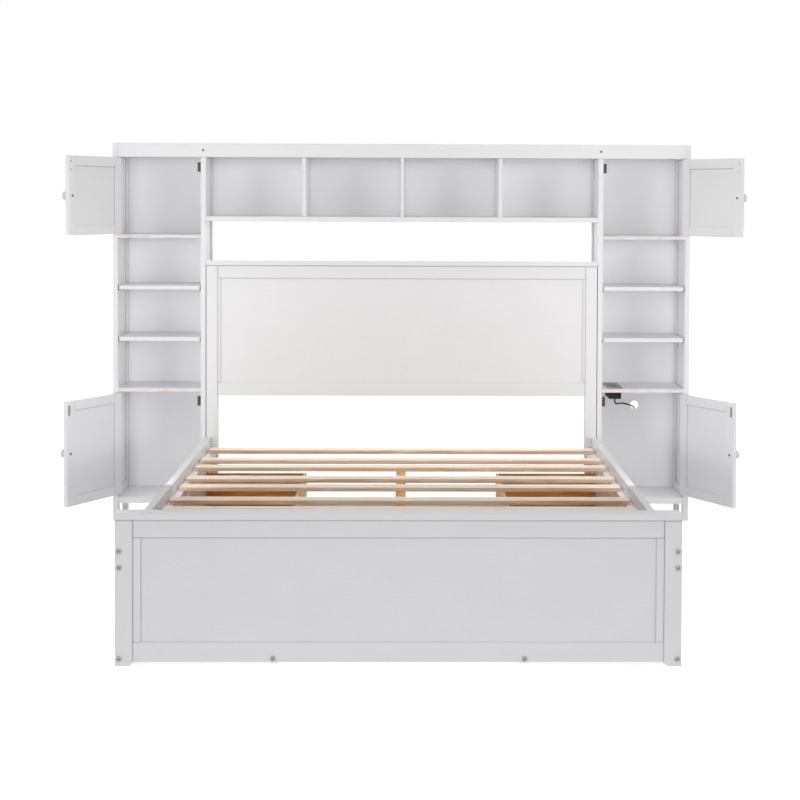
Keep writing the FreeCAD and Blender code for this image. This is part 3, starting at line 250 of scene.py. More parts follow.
@dataclass(frozen=True)
class PaintedWood(Finish):
    """Sprayed satin paint on sanded boards: even and pale, with the grain just telegraphing along each board."""

    shade: str = "#E3E3E5"
    # colour of the painted shade in corners and where boards meet
    corner_shade: str = "#9E9EA2"
    grain_mm: float = 5.0
    depth_mm: float = 0.03
    cloud_mm: float = 180.0
    # spray texture is finer than a pixel, so it is drawn at 3 mm
    peel_mm: float = 3.0
    # how far from a corner or joint the painted shade reaches
    corner_shade_mm: float = 5.0
    # the painted shade lies darker under an edge than over one, as under room light
    corner_shade_lean: float = 0.8

    def pattern(self, tree: bpy.types.NodeTree) -> Feeds:
        """Faint streaks along the board, cloudy tone, painted shade in corners and where boards meet, and a fine
        orange-peel bump.

        Args:
            tree: the material's node tree.

        Returns:
            What feeds each of the shader's inputs.
        """
        grain = add(tree, "ShaderNodeAttribute", attribute_name="grain").outputs["Vector"]
        streak = noise(tree, stretched(tree, grain, (0.03, 1.0, 1.0)), self.grain_mm, 4.0, Roughness=0.55)
        cloud = noise(tree, grain, self.cloud_mm)
        tone = add(tree, "ShaderNodeMix", {0: 0.4, 2: cloud, 3: streak}).outputs[0]
        paint = blend(tree, spread(tree, tone, (0.3, 0.72)), linear(self.shade), linear(self.colour))
        # painted shade: an occlusion probe, leaned upwards, darkens the paint towards the shade colour in corners and
        # joints
        facing = add(tree, "ShaderNodeNewGeometry").outputs["Normal"]
        lean = add(tree, "ShaderNodeVectorMath", {0: facing, 1: (0.0, 0.0, self.corner_shade_lean)})
        upward = add(tree, "ShaderNodeVectorMath", {0: lean.outputs[0]}, operation="NORMALIZE")
        corner = add(tree, "ShaderNodeAmbientOcclusion", {"Distance": self.corner_shade_mm * MM, "Normal": upward.outputs[0]},
                     samples=6)
        open_air = spread(tree, corner.outputs["AO"], (0.3, 0.9))
        peel = noise(tree, grain, self.peel_mm)
        relief = add(tree, "ShaderNodeMix", {0: 0.3, 2: streak, 3: peel}).outputs[0]
        return {"Base Color": blend(tree, open_air, linear(self.corner_shade), paint),
                "Roughness": spread(tree, cloud, (0.3, 0.7), (self.roughness - 0.05, self.roughness + 0.05)),
                "Normal": bumps(tree, relief, 0.5, self.depth_mm)}


@dataclass(frozen=True)
class BarePine(Finish):
    """Sawn and planed pine: straight bands of early and late wood, fine fibres and a knot here and there."""

    late: str = "#B98A5E"
    knot: str = "#8A5A36"
    ring_mm: float = 9.0
    fibre_mm: float = 1.4
    wander_mm: float = 60.0
    knot_apart_mm: float = 150.0
    fibre_depth_mm: float = 0.15

    def pattern(self, tree: bpy.types.NodeTree) -> Feeds:
        """Bands across the board that wander slowly along it, with fibres and knots.

        Args:
            tree: the material's node tree.

        Returns:
            What feeds each of the shader's inputs.
        """
        grain = add(tree, "ShaderNodeAttribute", attribute_name="grain").outputs["Vector"]
        slow = stretched(tree, grain, (0.04, 1.0, 1.0))
        wander = noise(tree, slow, self.wander_mm)
        bands = noise(tree, slow, self.ring_mm * 2, 1.0, Distortion=0.25)
        saw = maths(tree, "PINGPONG", maths(tree, "MULTIPLY", bands, 9.0), 1.0)
        fibre = noise(tree, stretched(tree, grain, (0.02, 1.0, 1.0)), self.fibre_mm, 3.0)
        mixed = add(tree, "ShaderNodeMix", {0: 0.45, 2: saw, 3: fibre}).outputs[0]
        share = spread(tree, maths(tree, "MULTIPLY", mixed, wander), (0.12, 0.42))
        wood = blend(tree, share, linear(self.colour), linear(self.late))
        spots = stretched(tree, grain, (0.45, 1.0, 0.3))
        cells = add(tree, "ShaderNodeTexVoronoi", {"Vector": spots, "Scale": per_metre(self.knot_apart_mm)})
        eye = spread(tree, cells.outputs["Distance"], (0.03, 0.1), (0.85, 0.0))
        return {"Base Color": blend(tree, eye, wood, linear(self.knot)),
                "Roughness": spread(tree, fibre, end=(self.roughness - 0.1, self.roughness + 0.1)),
                "Normal": bumps(tree, fibre, 0.6, self.fibre_depth_mm)}


@dataclass(frozen=True)
class RawEdge(Finish):
    """A sawn shelf edge that the spray only dusted: pinkish board showing through thin white."""

    bare: str = "#DAC8BE"
    patch_mm: float = 16.0
    depth_mm: float = 0.1

    def pattern(self, tree: bpy.types.NodeTree) -> Feeds:
        """Patches of bare board along the edge.

        Args:
            tree: the material's node tree.

        Returns:
            What feeds each of the shader's inputs.
        """
        place = add(tree, "ShaderNodeTexCoord").outputs["Object"]
        patch = noise(tree, stretched(tree, place, (0.35, 1.0, 1.6)), self.patch_mm, 4.0)
        share = spread(tree, patch, (0.48, 0.75))
        return {"Base Color": blend(tree, share, linear(self.colour), linear(self.bare)),
                "Normal": bumps(tree, patch, 0.4, self.depth_mm)}


@dataclass(frozen=True)
class Moulded(Finish):
    """Moulded plastic or rubber: an even colour with a fine spark-eroded texture."""

    texture_mm: float = 0.8
    pit_depth_mm: float = 0.05

    def pattern(self, tree: bpy.types.NodeTree) -> Feeds:
        """Fine pits in the gloss and the surface.

        Args:
            tree: the material's node tree.

        Returns:
            What feeds each of the shader's inputs.
        """
        pits = noise(tree, add(tree, "ShaderNodeTexCoord").outputs["Object"], self.texture_mm)
        return {"Roughness": spread(tree, pits, end=(self.roughness - 0.08, self.roughness + 0.08)),
                "Normal": bumps(tree, pits, 0.35, self.pit_depth_mm)}


@dataclass(frozen=True)
class PlatedSteel(Finish):
    """Zinc-plated steel: a grey metal with a cloudy, faintly brushed gloss, and painted shade in its recesses."""

    # colour of the painted shade in recesses such as a socket
    recess: str = "#232323"
    recess_mm: float = 4.0
    cloud_mm: float = 2.5

    def pattern(self, tree: bpy.types.NodeTree) -> Feeds:
        """Cloudy plating, with painted shade in the recesses.

        Args:
            tree: the material's node tree.

        Returns:
            What feeds each of the shader's inputs.
        """
        # painted shade: an occlusion probe darkens the metal towards the shade colour in its recesses
        hidden = add(tree, "ShaderNodeAmbientOcclusion", {"Distance": self.recess_mm * MM}, samples=6)
        depth = spread(tree, hidden.outputs["AO"], (0.3, 0.85))
        cloud = noise(tree, add(tree, "ShaderNodeTexCoord").outputs["Object"], self.cloud_mm, 3.0)
        return {"Base Color": blend(tree, depth, linear(self.recess), linear(self.colour)),
                "Roughness": spread(tree, cloud, end=(self.roughness - 0.1, self.roughness + 0.12))}


class Paints:
    """Every material of the bed, made once."""

    def __init__(self) -> None:
        """Make the materials."""
        # sprayed satin paint on wood: a soft, cool white with the grain barely there
        self.white = PaintedWood("satin_white_paint", "#E8E8EA", 0.42).make()
        # the same paint within the cabinets, lighter because the photo shows hardly any shade there
        # painted light: this lighter copy of the paint lifts the shade that falls within the cabinets
        self.inside = PaintedWood("satin_white_inside", "#FBFBFD", 0.42, shade="#F7F7F9").make()
        # paper-faced fibreboard: flat and nearly even, with weak painted shade in its corners and joints
        self.back = PaintedWood("thin_white_back_board", "#F7F7F9", 0.5, shade="#F4F4F6", corner_shade="#C4C4C7",
                                grain_mm=7.0, corner_shade_lean=0.0).make()
        # planed pine: pale cream with faint bands, painted paler as the light on the slats' faces that look up
        self.pine = BarePine("planed_pine", "#F8EFE2", 0.6, late="#EAD5BB", knot="#B08C68").make()
        # sawn pine: rougher along the slats' edges, and painted warmer and darker there as their shade
        self.sawn_and_shaded_pine = BarePine("sawn_pine_edge", "#EBD0B2", 0.65, late="#CFA981", knot="#9C744F").make()
        # cheaper pine of drawers and beam: an orange brown below the slats
        self.drawer_pine = BarePine("drawer_pine", "#E2AE6E", 0.6, late="#C2864A").make()
        # a saw cut that the spray hardly reached: dull white with pinkish patches
        self.edge = RawEdge("dusted_shelf_edge", "#E4E3E5", 0.6).make()
        # bright zinc on steel: grey, half matt, with painted shade in a socket
        self.steel = PlatedSteel("zinc_plated_steel", "#9C9B99", 0.34, metallic=1.0).make()
        # brown plastic of the catches: a dark spot with a soft gloss
        self.brown = Moulded("brown_catch_plastic", "#3A2A22", 0.45).make()
        # textured grey plastic: an even plate with a broad, soft gloss
        self.grey = Moulded("grey_abs_plate", "#8E8F92", 0.4).make()
        # darker plastic of the same texture: the sockets stand out from their plate
        self.dark = Moulded("dark_grey_abs_sockets", "#5C5D60", 0.4).make()
        # black plastic with little gloss: a flat, dark shape under its shelf
        self.black = Moulded("black_abs_box", "#1E1E1D", 0.5, specular=0.15).make()
        # soft cord jacket: a matt black line
        self.jacket = Moulded("black_pvc_cord_jacket", "#171717", 0.55, specular=0.15).make()
        # lacquered bronze screw heads: small brown dots
        self.screw = Moulded("bronzed_screw", "#6B4A36", 0.4).make()


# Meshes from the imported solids


def solids_of(mesh: bpy.types.Mesh) -> list[Triangles]:
    """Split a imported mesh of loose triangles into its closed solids.

    Args:
        mesh: the node's mesh, with the triangles of one solid after another.

    Returns:
        The triangles of each solid.
    """
    mesh.calc_loop_triangles()
    groups: list[Triangles] = []
    current: Triangles = []
    open_edges: set[frozenset[tuple[int, int, int]]] = set()
    for triangle in mesh.loop_triangles:
        points = [mesh.vertices[k].co for k in triangle.vertices]
        keys = [tuple(round(c / GRID) for c in p) for p in points]
        for a, b in ((0, 1), (1, 2), (2, 0)):
            open_edges ^= {frozenset((keys[a], keys[b]))}
        current.append((points[0].copy(), points[1].copy(), points[2].copy()))
        if not open_edges:
            groups.append(current)
            current = []
    if current:
        groups.append(current)
    return groups


def board_space(points: np.ndarray, rng: random.Random) -> np.ndarray:
    """Coordinates of points along, across and through a board, shifted by chance so that no two boards match.

    Args:
        points: the board's corners, one per row.
        rng: the source of the shift.

    Returns:
        One row per point, with the length of the board first.
    """
    middle = points.mean(0)
    _, _, axes = np.linalg.svd(points - middle, full_matrices=False)
    shift = np.array([rng.uniform(0, 5), rng.uniform(0, 1), rng.uniform(0, 1)])
    return (points - middle) @ axes.T + shift


def eased(bm: bmesh.types.BMesh, width: float, segments: int = 2) -> None:
    """Merge a solid's triangles and take the sharpness off its edges.

    Args:
        bm: the solid.
        width: how far each edge is rounded.
        segments: faces across each rounded edge.
    """
    bmesh.ops.remove_doubles(bm, verts=bm.verts, dist=WELD)
    bmesh.ops.dissolve_limit(bm, angle_limit=FLAT_TURN, verts=bm.verts, edges=bm.edges)
    sharp = [e for e in bm.edges if len(e.link_faces) == 2 and e.calc_face_angle(0.0) > SHARP_TURN]
    if width > 0 and sharp:
        bmesh.ops.bevel(bm, geom=sharp, offset=width, segments=segments, profile=0.6, affect="EDGES",
                        clamp_overlap=True)


def linked(name: str, data: bpy.types.ID) -> bpy.types.Object:
    """Put a new object in the scene and give it back."""
    thing = bpy.data.objects.new(name, data)
    bpy.context.scene.collection.objects.link(thing)
    return thing


def piece(name: str, mesh: bpy.types.Mesh, body: str, materials: Sequence[bpy.types.Material],
          nodes: Iterable[str] = ()) -> bpy.types.Object:
    """Put a finished mesh in the scene, on its body and in place of its nodes.

    Args:
        name: the piece's name.
        mesh: its mesh, in the model's frame.
        body: the body that it moves with.
        materials: its materials, in slot order; a mesh that has its own keeps them.
        nodes: the solids that it replaces.

    Returns:
        The new object.
    """
    if not len(mesh.materials):
        for material in materials:
            mesh.materials.append(material)
    thing = linked(name, mesh)
    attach(thing, body)
    named = list(nodes)
    if named:
        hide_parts(*named)
    log.info("%s: %d faces on %s", name, len(mesh.polygons), body)
    return thing


def shortened(triangles: Triangles, gap: float) -> Triangles:
    """Draw a board's ends in a little, so that a hairline shows where it meets the next one.

    Args:
        triangles: the board.
        gap: how far each end is drawn in.

    Returns:
        The shorter board's triangles.
    """
    points = np.array([p for triangle in triangles for p in triangle])
    middle = (points.max(0) + points.min(0)) / 2
    corners = np.unique(points.round(6), axis=0)
    axis = np.linalg.svd(corners - corners.mean(0), full_matrices=False)[2][0]
    along = (points - middle) @ axis
    points = points - np.outer(along * gap / np.abs(along).max(), axis)
    return [tuple(Vector(p) for p in points[k:k + 3]) for k in range(0, len(points), 3)]


def eased_node(node: str, width_mm: float, seed: int, rule: FaceRule | None = None,
               gap_mm: float = 0.0) -> bpy.types.Mesh:
    """A copy of a node with eased edges and with the space of each board for its grain.

    Args:
        node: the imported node.
        width_mm: how far each edge is rounded.
        seed: what fixes the grain's chance shifts.
        rule: a face's middle and normal to the number of its material.
        gap_mm: how far each board's ends are drawn in.

    Returns:
        A new mesh.
    """
    rng = random.Random(seed)
    whole = bmesh.new()
    spaces: list[np.ndarray] = []
    for triangles in solids_of(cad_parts[node].data):
        bm = bmesh.new()
        for triangle in shortened(triangles, gap_mm * MM):
            bm.faces.new([bm.verts.new(p) for p in triangle])
        eased(bm, width_mm * MM)
        spaces.append(board_space(np.array([v.co for v in bm.verts]), rng))
        part = bpy.data.meshes.new("solid")
        bm.to_mesh(part)
        bm.free()
        whole.from_mesh(part)
        bpy.data.meshes.remove(part)
    if rule is not None:
        whole.normal_update()
        for face in whole.faces:
            face.material_index = rule(face.calc_center_median(), face.normal)
    mesh = bpy.data.meshes.new(node)
    whole.to_mesh(mesh)
    whole.free()
    grain = mesh.attributes.new("grain", "FLOAT_VECTOR", "POINT")
    grain.data.foreach_set("vector", np.concatenate(spaces).astype(np.float32).ravel())
    return mesh


def grained(mesh: bpy.types.Mesh, seed: int) -> bpy.types.Mesh:
    """Give a mesh of separate boards the space of each board for its grain.

    Args:
        mesh: a mesh whose boards don't share vertices.
        seed: what fixes the chance shifts.

    Returns:
        The same mesh.
    """
    rng = random.Random(seed)
    bm = bmesh.new()
    bm.from_mesh(mesh)
    bm.verts.ensure_lookup_table()
    space = np.zeros((len(bm.verts), 3))
    left = set(range(len(bm.verts)))
    while left:
        reach = [left.pop()]
        island = list(reach)
        while reach:
            for edge in bm.verts[reach.pop()].link_edges:
                for vert in edge.verts:
                    if vert.index in left:
                        left.discard(vert.index)
                        reach.append(vert.index)
                        island.append(vert.index)
        island.sort()
        space[island] = board_space(np.array([bm.verts[k].co for k in island]), rng)
    bm.free()
    grain = mesh.attributes.new("grain", "FLOAT_VECTOR", "POINT")
    grain.data.foreach_set("vector", space.astype(np.float32).ravel())
    return mesh


def lathe(profile: Sequence[tuple[float, float]], steps: int = 48) -> bpy.types.Mesh:
    """Turn a profile about +Z into a closed, smooth solid.

    Args:
        profile: radius and height of each ring, from the foot's middle to the head's middle.
        steps: faces round the axis.

    Returns:
        A new mesh.
    """
    bm = bmesh.new()
    rings: list[list[bmesh.types.BMVert]] = []
    for radius, height in profile:
        count = 1 if radius == 0 else steps
        rings.append([bm.verts.new((radius * math.cos(2 * math.pi * k / steps),
                                    radius * math.sin(2 * math.pi * k / steps), height)) for k in range(count)])
    for low, high in zip(rings, rings[1:]):
        for k in range(steps):
            corners = [low[k % len(low)], low[(k + 1) % len(low)], high[(k + 1) % len(high)], high[k % len(high)]]
            unique = list(dict.fromkeys(corners))
            if len(unique) > 2:
                bm.faces.new(unique)
    bmesh.ops.recalc_face_normals(bm, faces=bm.faces)
    mesh = bpy.data.meshes.new("turned")
    bm.to_mesh(mesh)
    bm.free()
    mesh.polygons.foreach_set("use_smooth", [True] * len(mesh.polygons))
    return mesh


# Geometry Nodes


def new_tree(name: str, inputs: Sequence[tuple[str, str]]) -> tuple[bpy.types.NodeTree, dict[str, str]]:
    """Start a geometry tree with named inputs.

    Args:
        name: the tree's name.
        inputs: name and socket type of each input after the geometry.

    Returns:
        The tree, and each input's identifier by its name.
    """
    tree = bpy.data.node_groups.new(name, "GeometryNodeTree")
    tree.interface.new_socket("Geometry", in_out="INPUT", socket_type="NodeSocketGeometry")
    made = {label: tree.interface.new_socket(label, in_out="INPUT", socket_type=kind).identifier
            for label, kind in inputs}
    tree.interface.new_socket("Geometry", in_out="OUTPUT", socket_type="NodeSocketGeometry")
    return tree, made


def grown(name: str, tree: bpy.types.NodeTree, inputs: dict[str, str], values: dict[str, Any],
          points: Sequence[Vector] = ()) -> bpy.types.Mesh:
    """Run a geometry tree and keep its result as a plain mesh.

    Args:
        name: the mesh's name.
        tree: the tree.
        inputs: identifier of each input by its name.
        values: what each input is set to.
        points: loose points that the tree works on.

    Returns:
        A new mesh with its materials.
    """
    seed_mesh = bpy.data.meshes.new(f"{name}_points")
    seed_mesh.from_pydata([tuple(p) for p in points], [], [])
    carrier = linked(f"{name}_carrier", seed_mesh)
    modifier = carrier.modifiers.new("grow", "NODES")
    modifier.node_group = tree
    for label, value in values.items():
        modifier[inputs[label]] = value
    bpy.context.view_layer.update()
    graph = bpy.context.evaluated_depsgraph_get()
    mesh = bpy.data.meshes.new_from_object(carrier.evaluated_get(graph), depsgraph=graph)
    mesh.name = name
    carrier.modifiers.remove(modifier)
    bpy.data.objects.remove(carrier)
    return mesh


def slat_tree() -> tuple[bpy.types.NodeTree, dict[str, str]]:
    """A tree that lays eased slats along the bed, every other one a little off its even place.

    Returns:
        The tree and its inputs.
    """
    floats = ("Length", "Width", "Thickness", "Edge Radius", "Pitch", "Stagger", "First", "Height")
    tree, inputs = new_tree("slat_row", [(f, "NodeSocketFloat") for f in floats]
                            + [("Count", "NodeSocketInt"), ("Finish", "NodeSocketMaterial")])
    given = add(tree, "NodeGroupInput").outputs
    start = add(tree, "ShaderNodeCombineXYZ", {"X": maths(tree, "MULTIPLY", given["Length"], -0.5)})
    end = add(tree, "ShaderNodeCombineXYZ", {"X": maths(tree, "MULTIPLY", given["Length"], 0.5)})
    line = add(tree, "GeometryNodeCurvePrimitiveLine", {"Start": start.outputs[0], "End": end.outputs[0]})
    outline = add(tree, "GeometryNodeCurvePrimitiveQuadrilateral", {"Width": given["Width"],
                                                                   "Height": given["Thickness"]})
    rounded = add(tree, "GeometryNodeFilletCurve", {"Curve": outline.outputs[0], "Count": 4,
                                                   "Radius": given["Edge Radius"]}, mode="POLY")
    slat = add(tree, "GeometryNodeCurveToMesh", {"Curve": line.outputs[0], "Profile Curve": rounded.outputs[0],
                                                "Fill Caps": True})
    first = add(tree, "ShaderNodeCombineXYZ", {"Y": given["First"], "Z": given["Height"]})
    step = add(tree, "ShaderNodeCombineXYZ", {"Y": given["Pitch"]})
    row = add(tree, "GeometryNodeMeshLine", {"Count": given["Count"], "Start Location": first.outputs[0],
                                            "Offset": step.outputs[0]})
    odd = maths(tree, "MODULO", add(tree, "GeometryNodeInputIndex").outputs[0], 2.0)
    sign = maths(tree, "MULTIPLY_ADD", odd, -2.0, 1.0)
    aside = add(tree, "ShaderNodeCombineXYZ", {"Y": maths(tree, "MULTIPLY", sign, given["Stagger"])})
    uneven = add(tree, "GeometryNodeSetPosition", {"Geometry": row.outputs[0], "Offset": aside.outputs[0]})
    laid = add(tree, "GeometryNodeInstanceOnPoints", {"Points": uneven.outputs[0], "Instance": slat.outputs[0]})
    real = add(tree, "GeometryNodeRealizeInstances", {"Geometry": laid.outputs[0]})
    dressed = add(tree, "GeometryNodeSetMaterial", {"Geometry": real.outputs[0], "Material": given["Finish"]})
    add(tree, "NodeGroupOutput", {0: dressed.outputs[0]})
    return tree, inputs


def fastener_tree() -> tuple[bpy.types.NodeTree, dict[str, str]]:
    """A tree that sets one fastener, turned the same way, on each point.

    Returns:
        The tree and its inputs.
    """
    tree, inputs = new_tree("fasteners", [("Pattern", "NodeSocketObject"), ("Turn", "NodeSocketRotation"),
                                          ("Finish", "NodeSocketMaterial")])
    given = add(tree, "NodeGroupInput").outputs
    form = add(tree, "GeometryNodeObjectInfo", {"Object": given["Pattern"]})
    spots = add(tree, "GeometryNodeMeshToPoints", {"Mesh": given["Geometry"]})
    laid = add(tree, "GeometryNodeInstanceOnPoints", {"Points": spots.outputs[0], "Instance": form.outputs["Geometry"],
                                                     "Rotation": given["Turn"]})
    real = add(tree, "GeometryNodeRealizeInstances", {"Geometry": laid.outputs[0]})
    dressed = add(tree, "GeometryNodeSetMaterial", {"Geometry": real.outputs[0], "Material": given["Finish"]})
    add(tree, "NodeGroupOutput", {0: dressed.outputs[0]})
    return tree, inputs


class Turn(Enum):
    """Which way a fastener's head looks, as a turn of a head that looks along +Z."""

    TO_FOOT = (math.pi / 2, 0.0, 0.0)
    TO_HEAD = (-math.pi / 2, 0.0, 0.0)
    TO_RIGHT = (0.0, math.pi / 2, 0.0)


class Fasteners:
    """Heads of bolts and screws, each form made once and set on points."""

    def __init__(self) -> None:
        """Build the tree."""
        self.tree, self.inputs = fastener_tree()

    def set(self, name: str, form: bpy.types.Mesh, points: Sequence[Vector], turn: Turn,
            finish: bpy.types.Material) -> bpy.types.Mesh:
        """Set a form on points.

        Args:
            name: the mesh's name.
            form: the head, looking along +Z from its seat.
            points: the seats.
            turn: which way the heads look.
            finish: their material.

        Returns:
            One mesh with all the heads.
        """
        pattern = linked(f"{name}_pattern", form)
        mesh = grown(name, self.tree, self.inputs,
                     {"Pattern": pattern, "Turn": turn.value, "Finish": finish}, points)
        bpy.data.objects.remove(pattern)
        return mesh


def socket_head(radius: float, height: float, hex_reach: float, depth: float, steps: int = 48) -> bpy.types.Mesh:
    """A low domed bolt head with a hexagonal recess.

    Args:
        radius: the head's radius.
        height: the head's height.
        hex_reach: from the axis to a flat of the recess.
        depth: the recess's depth.
        steps: faces round the head, a multiple of six.

    Returns:
        A new mesh that looks along +Z.
    """
    def hexagon(angle: float) -> float:
        """Reach of the recess at an angle."""
        return hex_reach / math.cos((angle + math.pi / 6) % (math.pi / 3) - math.pi / 6)

    def circle(size: float) -> Callable[[float], float]:
        """A reach that is the same at every angle."""
        return lambda _angle: size

    lead_in = 0.3 * MM
    rings = [(circle(radius), 0.0), (circle(radius), height * 0.35), (circle(radius * 0.93), height * 0.7),
             (circle(radius * 0.78), height * 0.93), (circle(radius * 0.6), height),
             (lambda a: hexagon(a) * 1.08, height), (hexagon, height - lead_in), (hexagon, height - depth)]
    bm = bmesh.new()
    loops: list[list[bmesh.types.BMVert]] = []
    for reach, level in rings:
        angles = [2 * math.pi * k / steps for k in range(steps)]
        loops.append([bm.verts.new((reach(a) * math.cos(a), reach(a) * math.sin(a), level)) for a in angles])
    for low, high in zip(loops, loops[1:]):
        for k in range(steps):
            bm.faces.new((low[k], low[(k + 1) % steps], high[(k + 1) % steps], high[k]))
    bm.faces.new(loops[-1])
    bm.faces.new(list(reversed(loops[0])))
    mesh = bpy.data.meshes.new("bolt_head")
    bm.to_mesh(mesh)
    bm.free()
    return mesh


# Sub-assemblies


@dataclass
class BedFrame:
    """Posts, boards and rails of the bed."""

    edge_mm: float = 1.6
    gap_mm: float = 0.2
    painted: tuple[str, ...] = ("footboard_posts", "footboard_frame", "footboard_cap", "headboard_posts",
                                "headboard_frame", "headboard_cap", "side_rails", "slat_cleats",
                                "lower_side_frames", "inner_floor_rails")
    bare: tuple[str, ...] = ("centre_beam", "centre_legs", "drawer_runners")
    rail_middle: float = 0.798
    inner_rail: float = 0.360
    bolt_heights: tuple[float, ...] = (0.331, 0.284, 0.022)
    post_face: float = 1.066
    inner_faces: tuple[float, float] = (-1.063, 1.046)
    bolt_head: tuple[float, float] = (0.0075, 0.004)
    bolt_socket: tuple[float, float] = (0.0036, 0.0032)
    nut_half: float = 0.008
    nut_y: float = 0.981
    inner_nut_y: tuple[float, float] = (-1.001, 0.984)
    nut_profile: tuple[tuple[float, float], ...] = ((0.0, 0.0), (0.0044, 0.0), (0.005, 0.0006), (0.005, 0.0154),
                                                    (0.0044, 0.016), (0.0, 0.016))

    def build(self, paints: Paints) -> None:
        """Make the boards with eased edges.

        Args:
            paints: the materials.
        """
        for seed, node in enumerate(self.painted, start=Seed.FRAME):
            piece(f"{node}_board", eased_node(node, self.edge_mm, seed, gap_mm=self.gap_mm), ROOT,
                  [paints.white], [node])
        for seed, node in enumerate(self.bare, start=Seed.BARE_BOARDS):
            piece(f"{node}_board", eased_node(node, self.edge_mm, seed), ROOT, [paints.drawer_pine], [node])

    def dress(self, paints: Paints, fasteners: Fasteners) -> None:
        """Set the bed bolts' heads and the barrel nuts.

        Args:
            paints: the materials.
            fasteners: what sets the heads on their seats.
        """
        form = socket_head(*self.bolt_head, *self.bolt_socket)
        outer = [(side.value * self.rail_middle, z) for side in Side for z in self.bolt_heights]
        inner = [(side.value * self.inner_rail, self.bolt_heights[-1]) for side in Side]
        foot = [Vector((x, -self.post_face, z)) for x, z in outer]
        foot += [Vector((x, self.inner_faces[0], z)) for x, z in inner]
        head = [Vector((x, self.post_face, z)) for x, z in outer]
        head += [Vector((x, self.inner_faces[1], z)) for x, z in inner]
        seats = [Vector((x - self.nut_half, way * self.nut_y, z)) for x, z in outer for way in (-1, 1)]
        seats += [Vector((x - self.nut_half, y, z)) for x, z in inner for y in self.inner_nut_y]
        barrel = lathe(self.nut_profile, SMALL_STEPS)
        for name, shape, points, turn, nodes in (("foot_bolt_heads", form, foot, Turn.TO_FOOT, ["bed_bolts"]),
                                                 ("head_bolt_heads", form, head, Turn.TO_HEAD, []),
                                                 ("barrel_nuts", barrel, seats, Turn.TO_RIGHT, [])):
            piece(name, fasteners.set(name, shape, points, turn, paints.steel), ROOT, [], nodes)


@dataclass
class Slats:
    """The row of pine slats."""

    length: float = 1.550
    width: float = 0.068
    thickness: float = 0.015
    edge_radius: float = 0.0014
    count: int = 9
    pitch: float = 0.207467
    stagger: float = 0.018
    shift: float = 0.020
    top: float = 0.321
    # how far up a face must look to take the paler pine of painted light
    lit_top_share: float = 0.7

    def build(self, paints: Paints) -> None:
        """Lay the slats, with planed tops painted paler as light and sawn edges painted darker as shade.

        Args:
            paints: the materials.
        """
        tree, inputs = slat_tree()
        mesh = grown("slat_row", tree, inputs, {
            "Length": self.length, "Width": self.width, "Thickness": self.thickness, "Edge Radius": self.edge_radius,
            "Pitch": self.pitch, "Stagger": self.stagger, "First": self.shift - self.pitch * (self.count - 1) / 2,
            "Height": self.top - self.thickness / 2, "Count": self.count, "Finish": paints.pine})
        mesh.materials.clear()
        row = piece("slat_row", grained(mesh, Seed.SLATS), ROOT, [paints.pine, paints.sawn_and_shaded_pine], ["slats"])
        # painted light and shade: faces that look up take the paler pine and the others the darker one
        for face in row.data.polygons:
            face.material_index = int(abs(face.normal.z) < self.lit_top_share)


@dataclass
class Drawers:
    """The four drawers under the bed."""

    edge_mm: float = 1.2
    front_edge_mm: float = 1.56
    names: tuple[str, ...] = ("foot_left", "head_left", "foot_right", "head_right")

    def build(self, paints: Paints) -> None:
        """Make each drawer's painted front and pine box.

        Args:
            paints: the materials.
        """
        for seed, name in enumerate(self.names, start=Seed.DRAWERS):
            body = f"{name}_drawer"
            piece(f"{body}_front_board", eased_node(f"{body}_front", self.front_edge_mm, seed), body,
                  [paints.white], [f"{body}_front"])
            piece(f"{body}_box_boards", eased_node(f"{body}_box", self.edge_mm, seed), body,
                  [paints.drawer_pine], [f"{body}_box"])


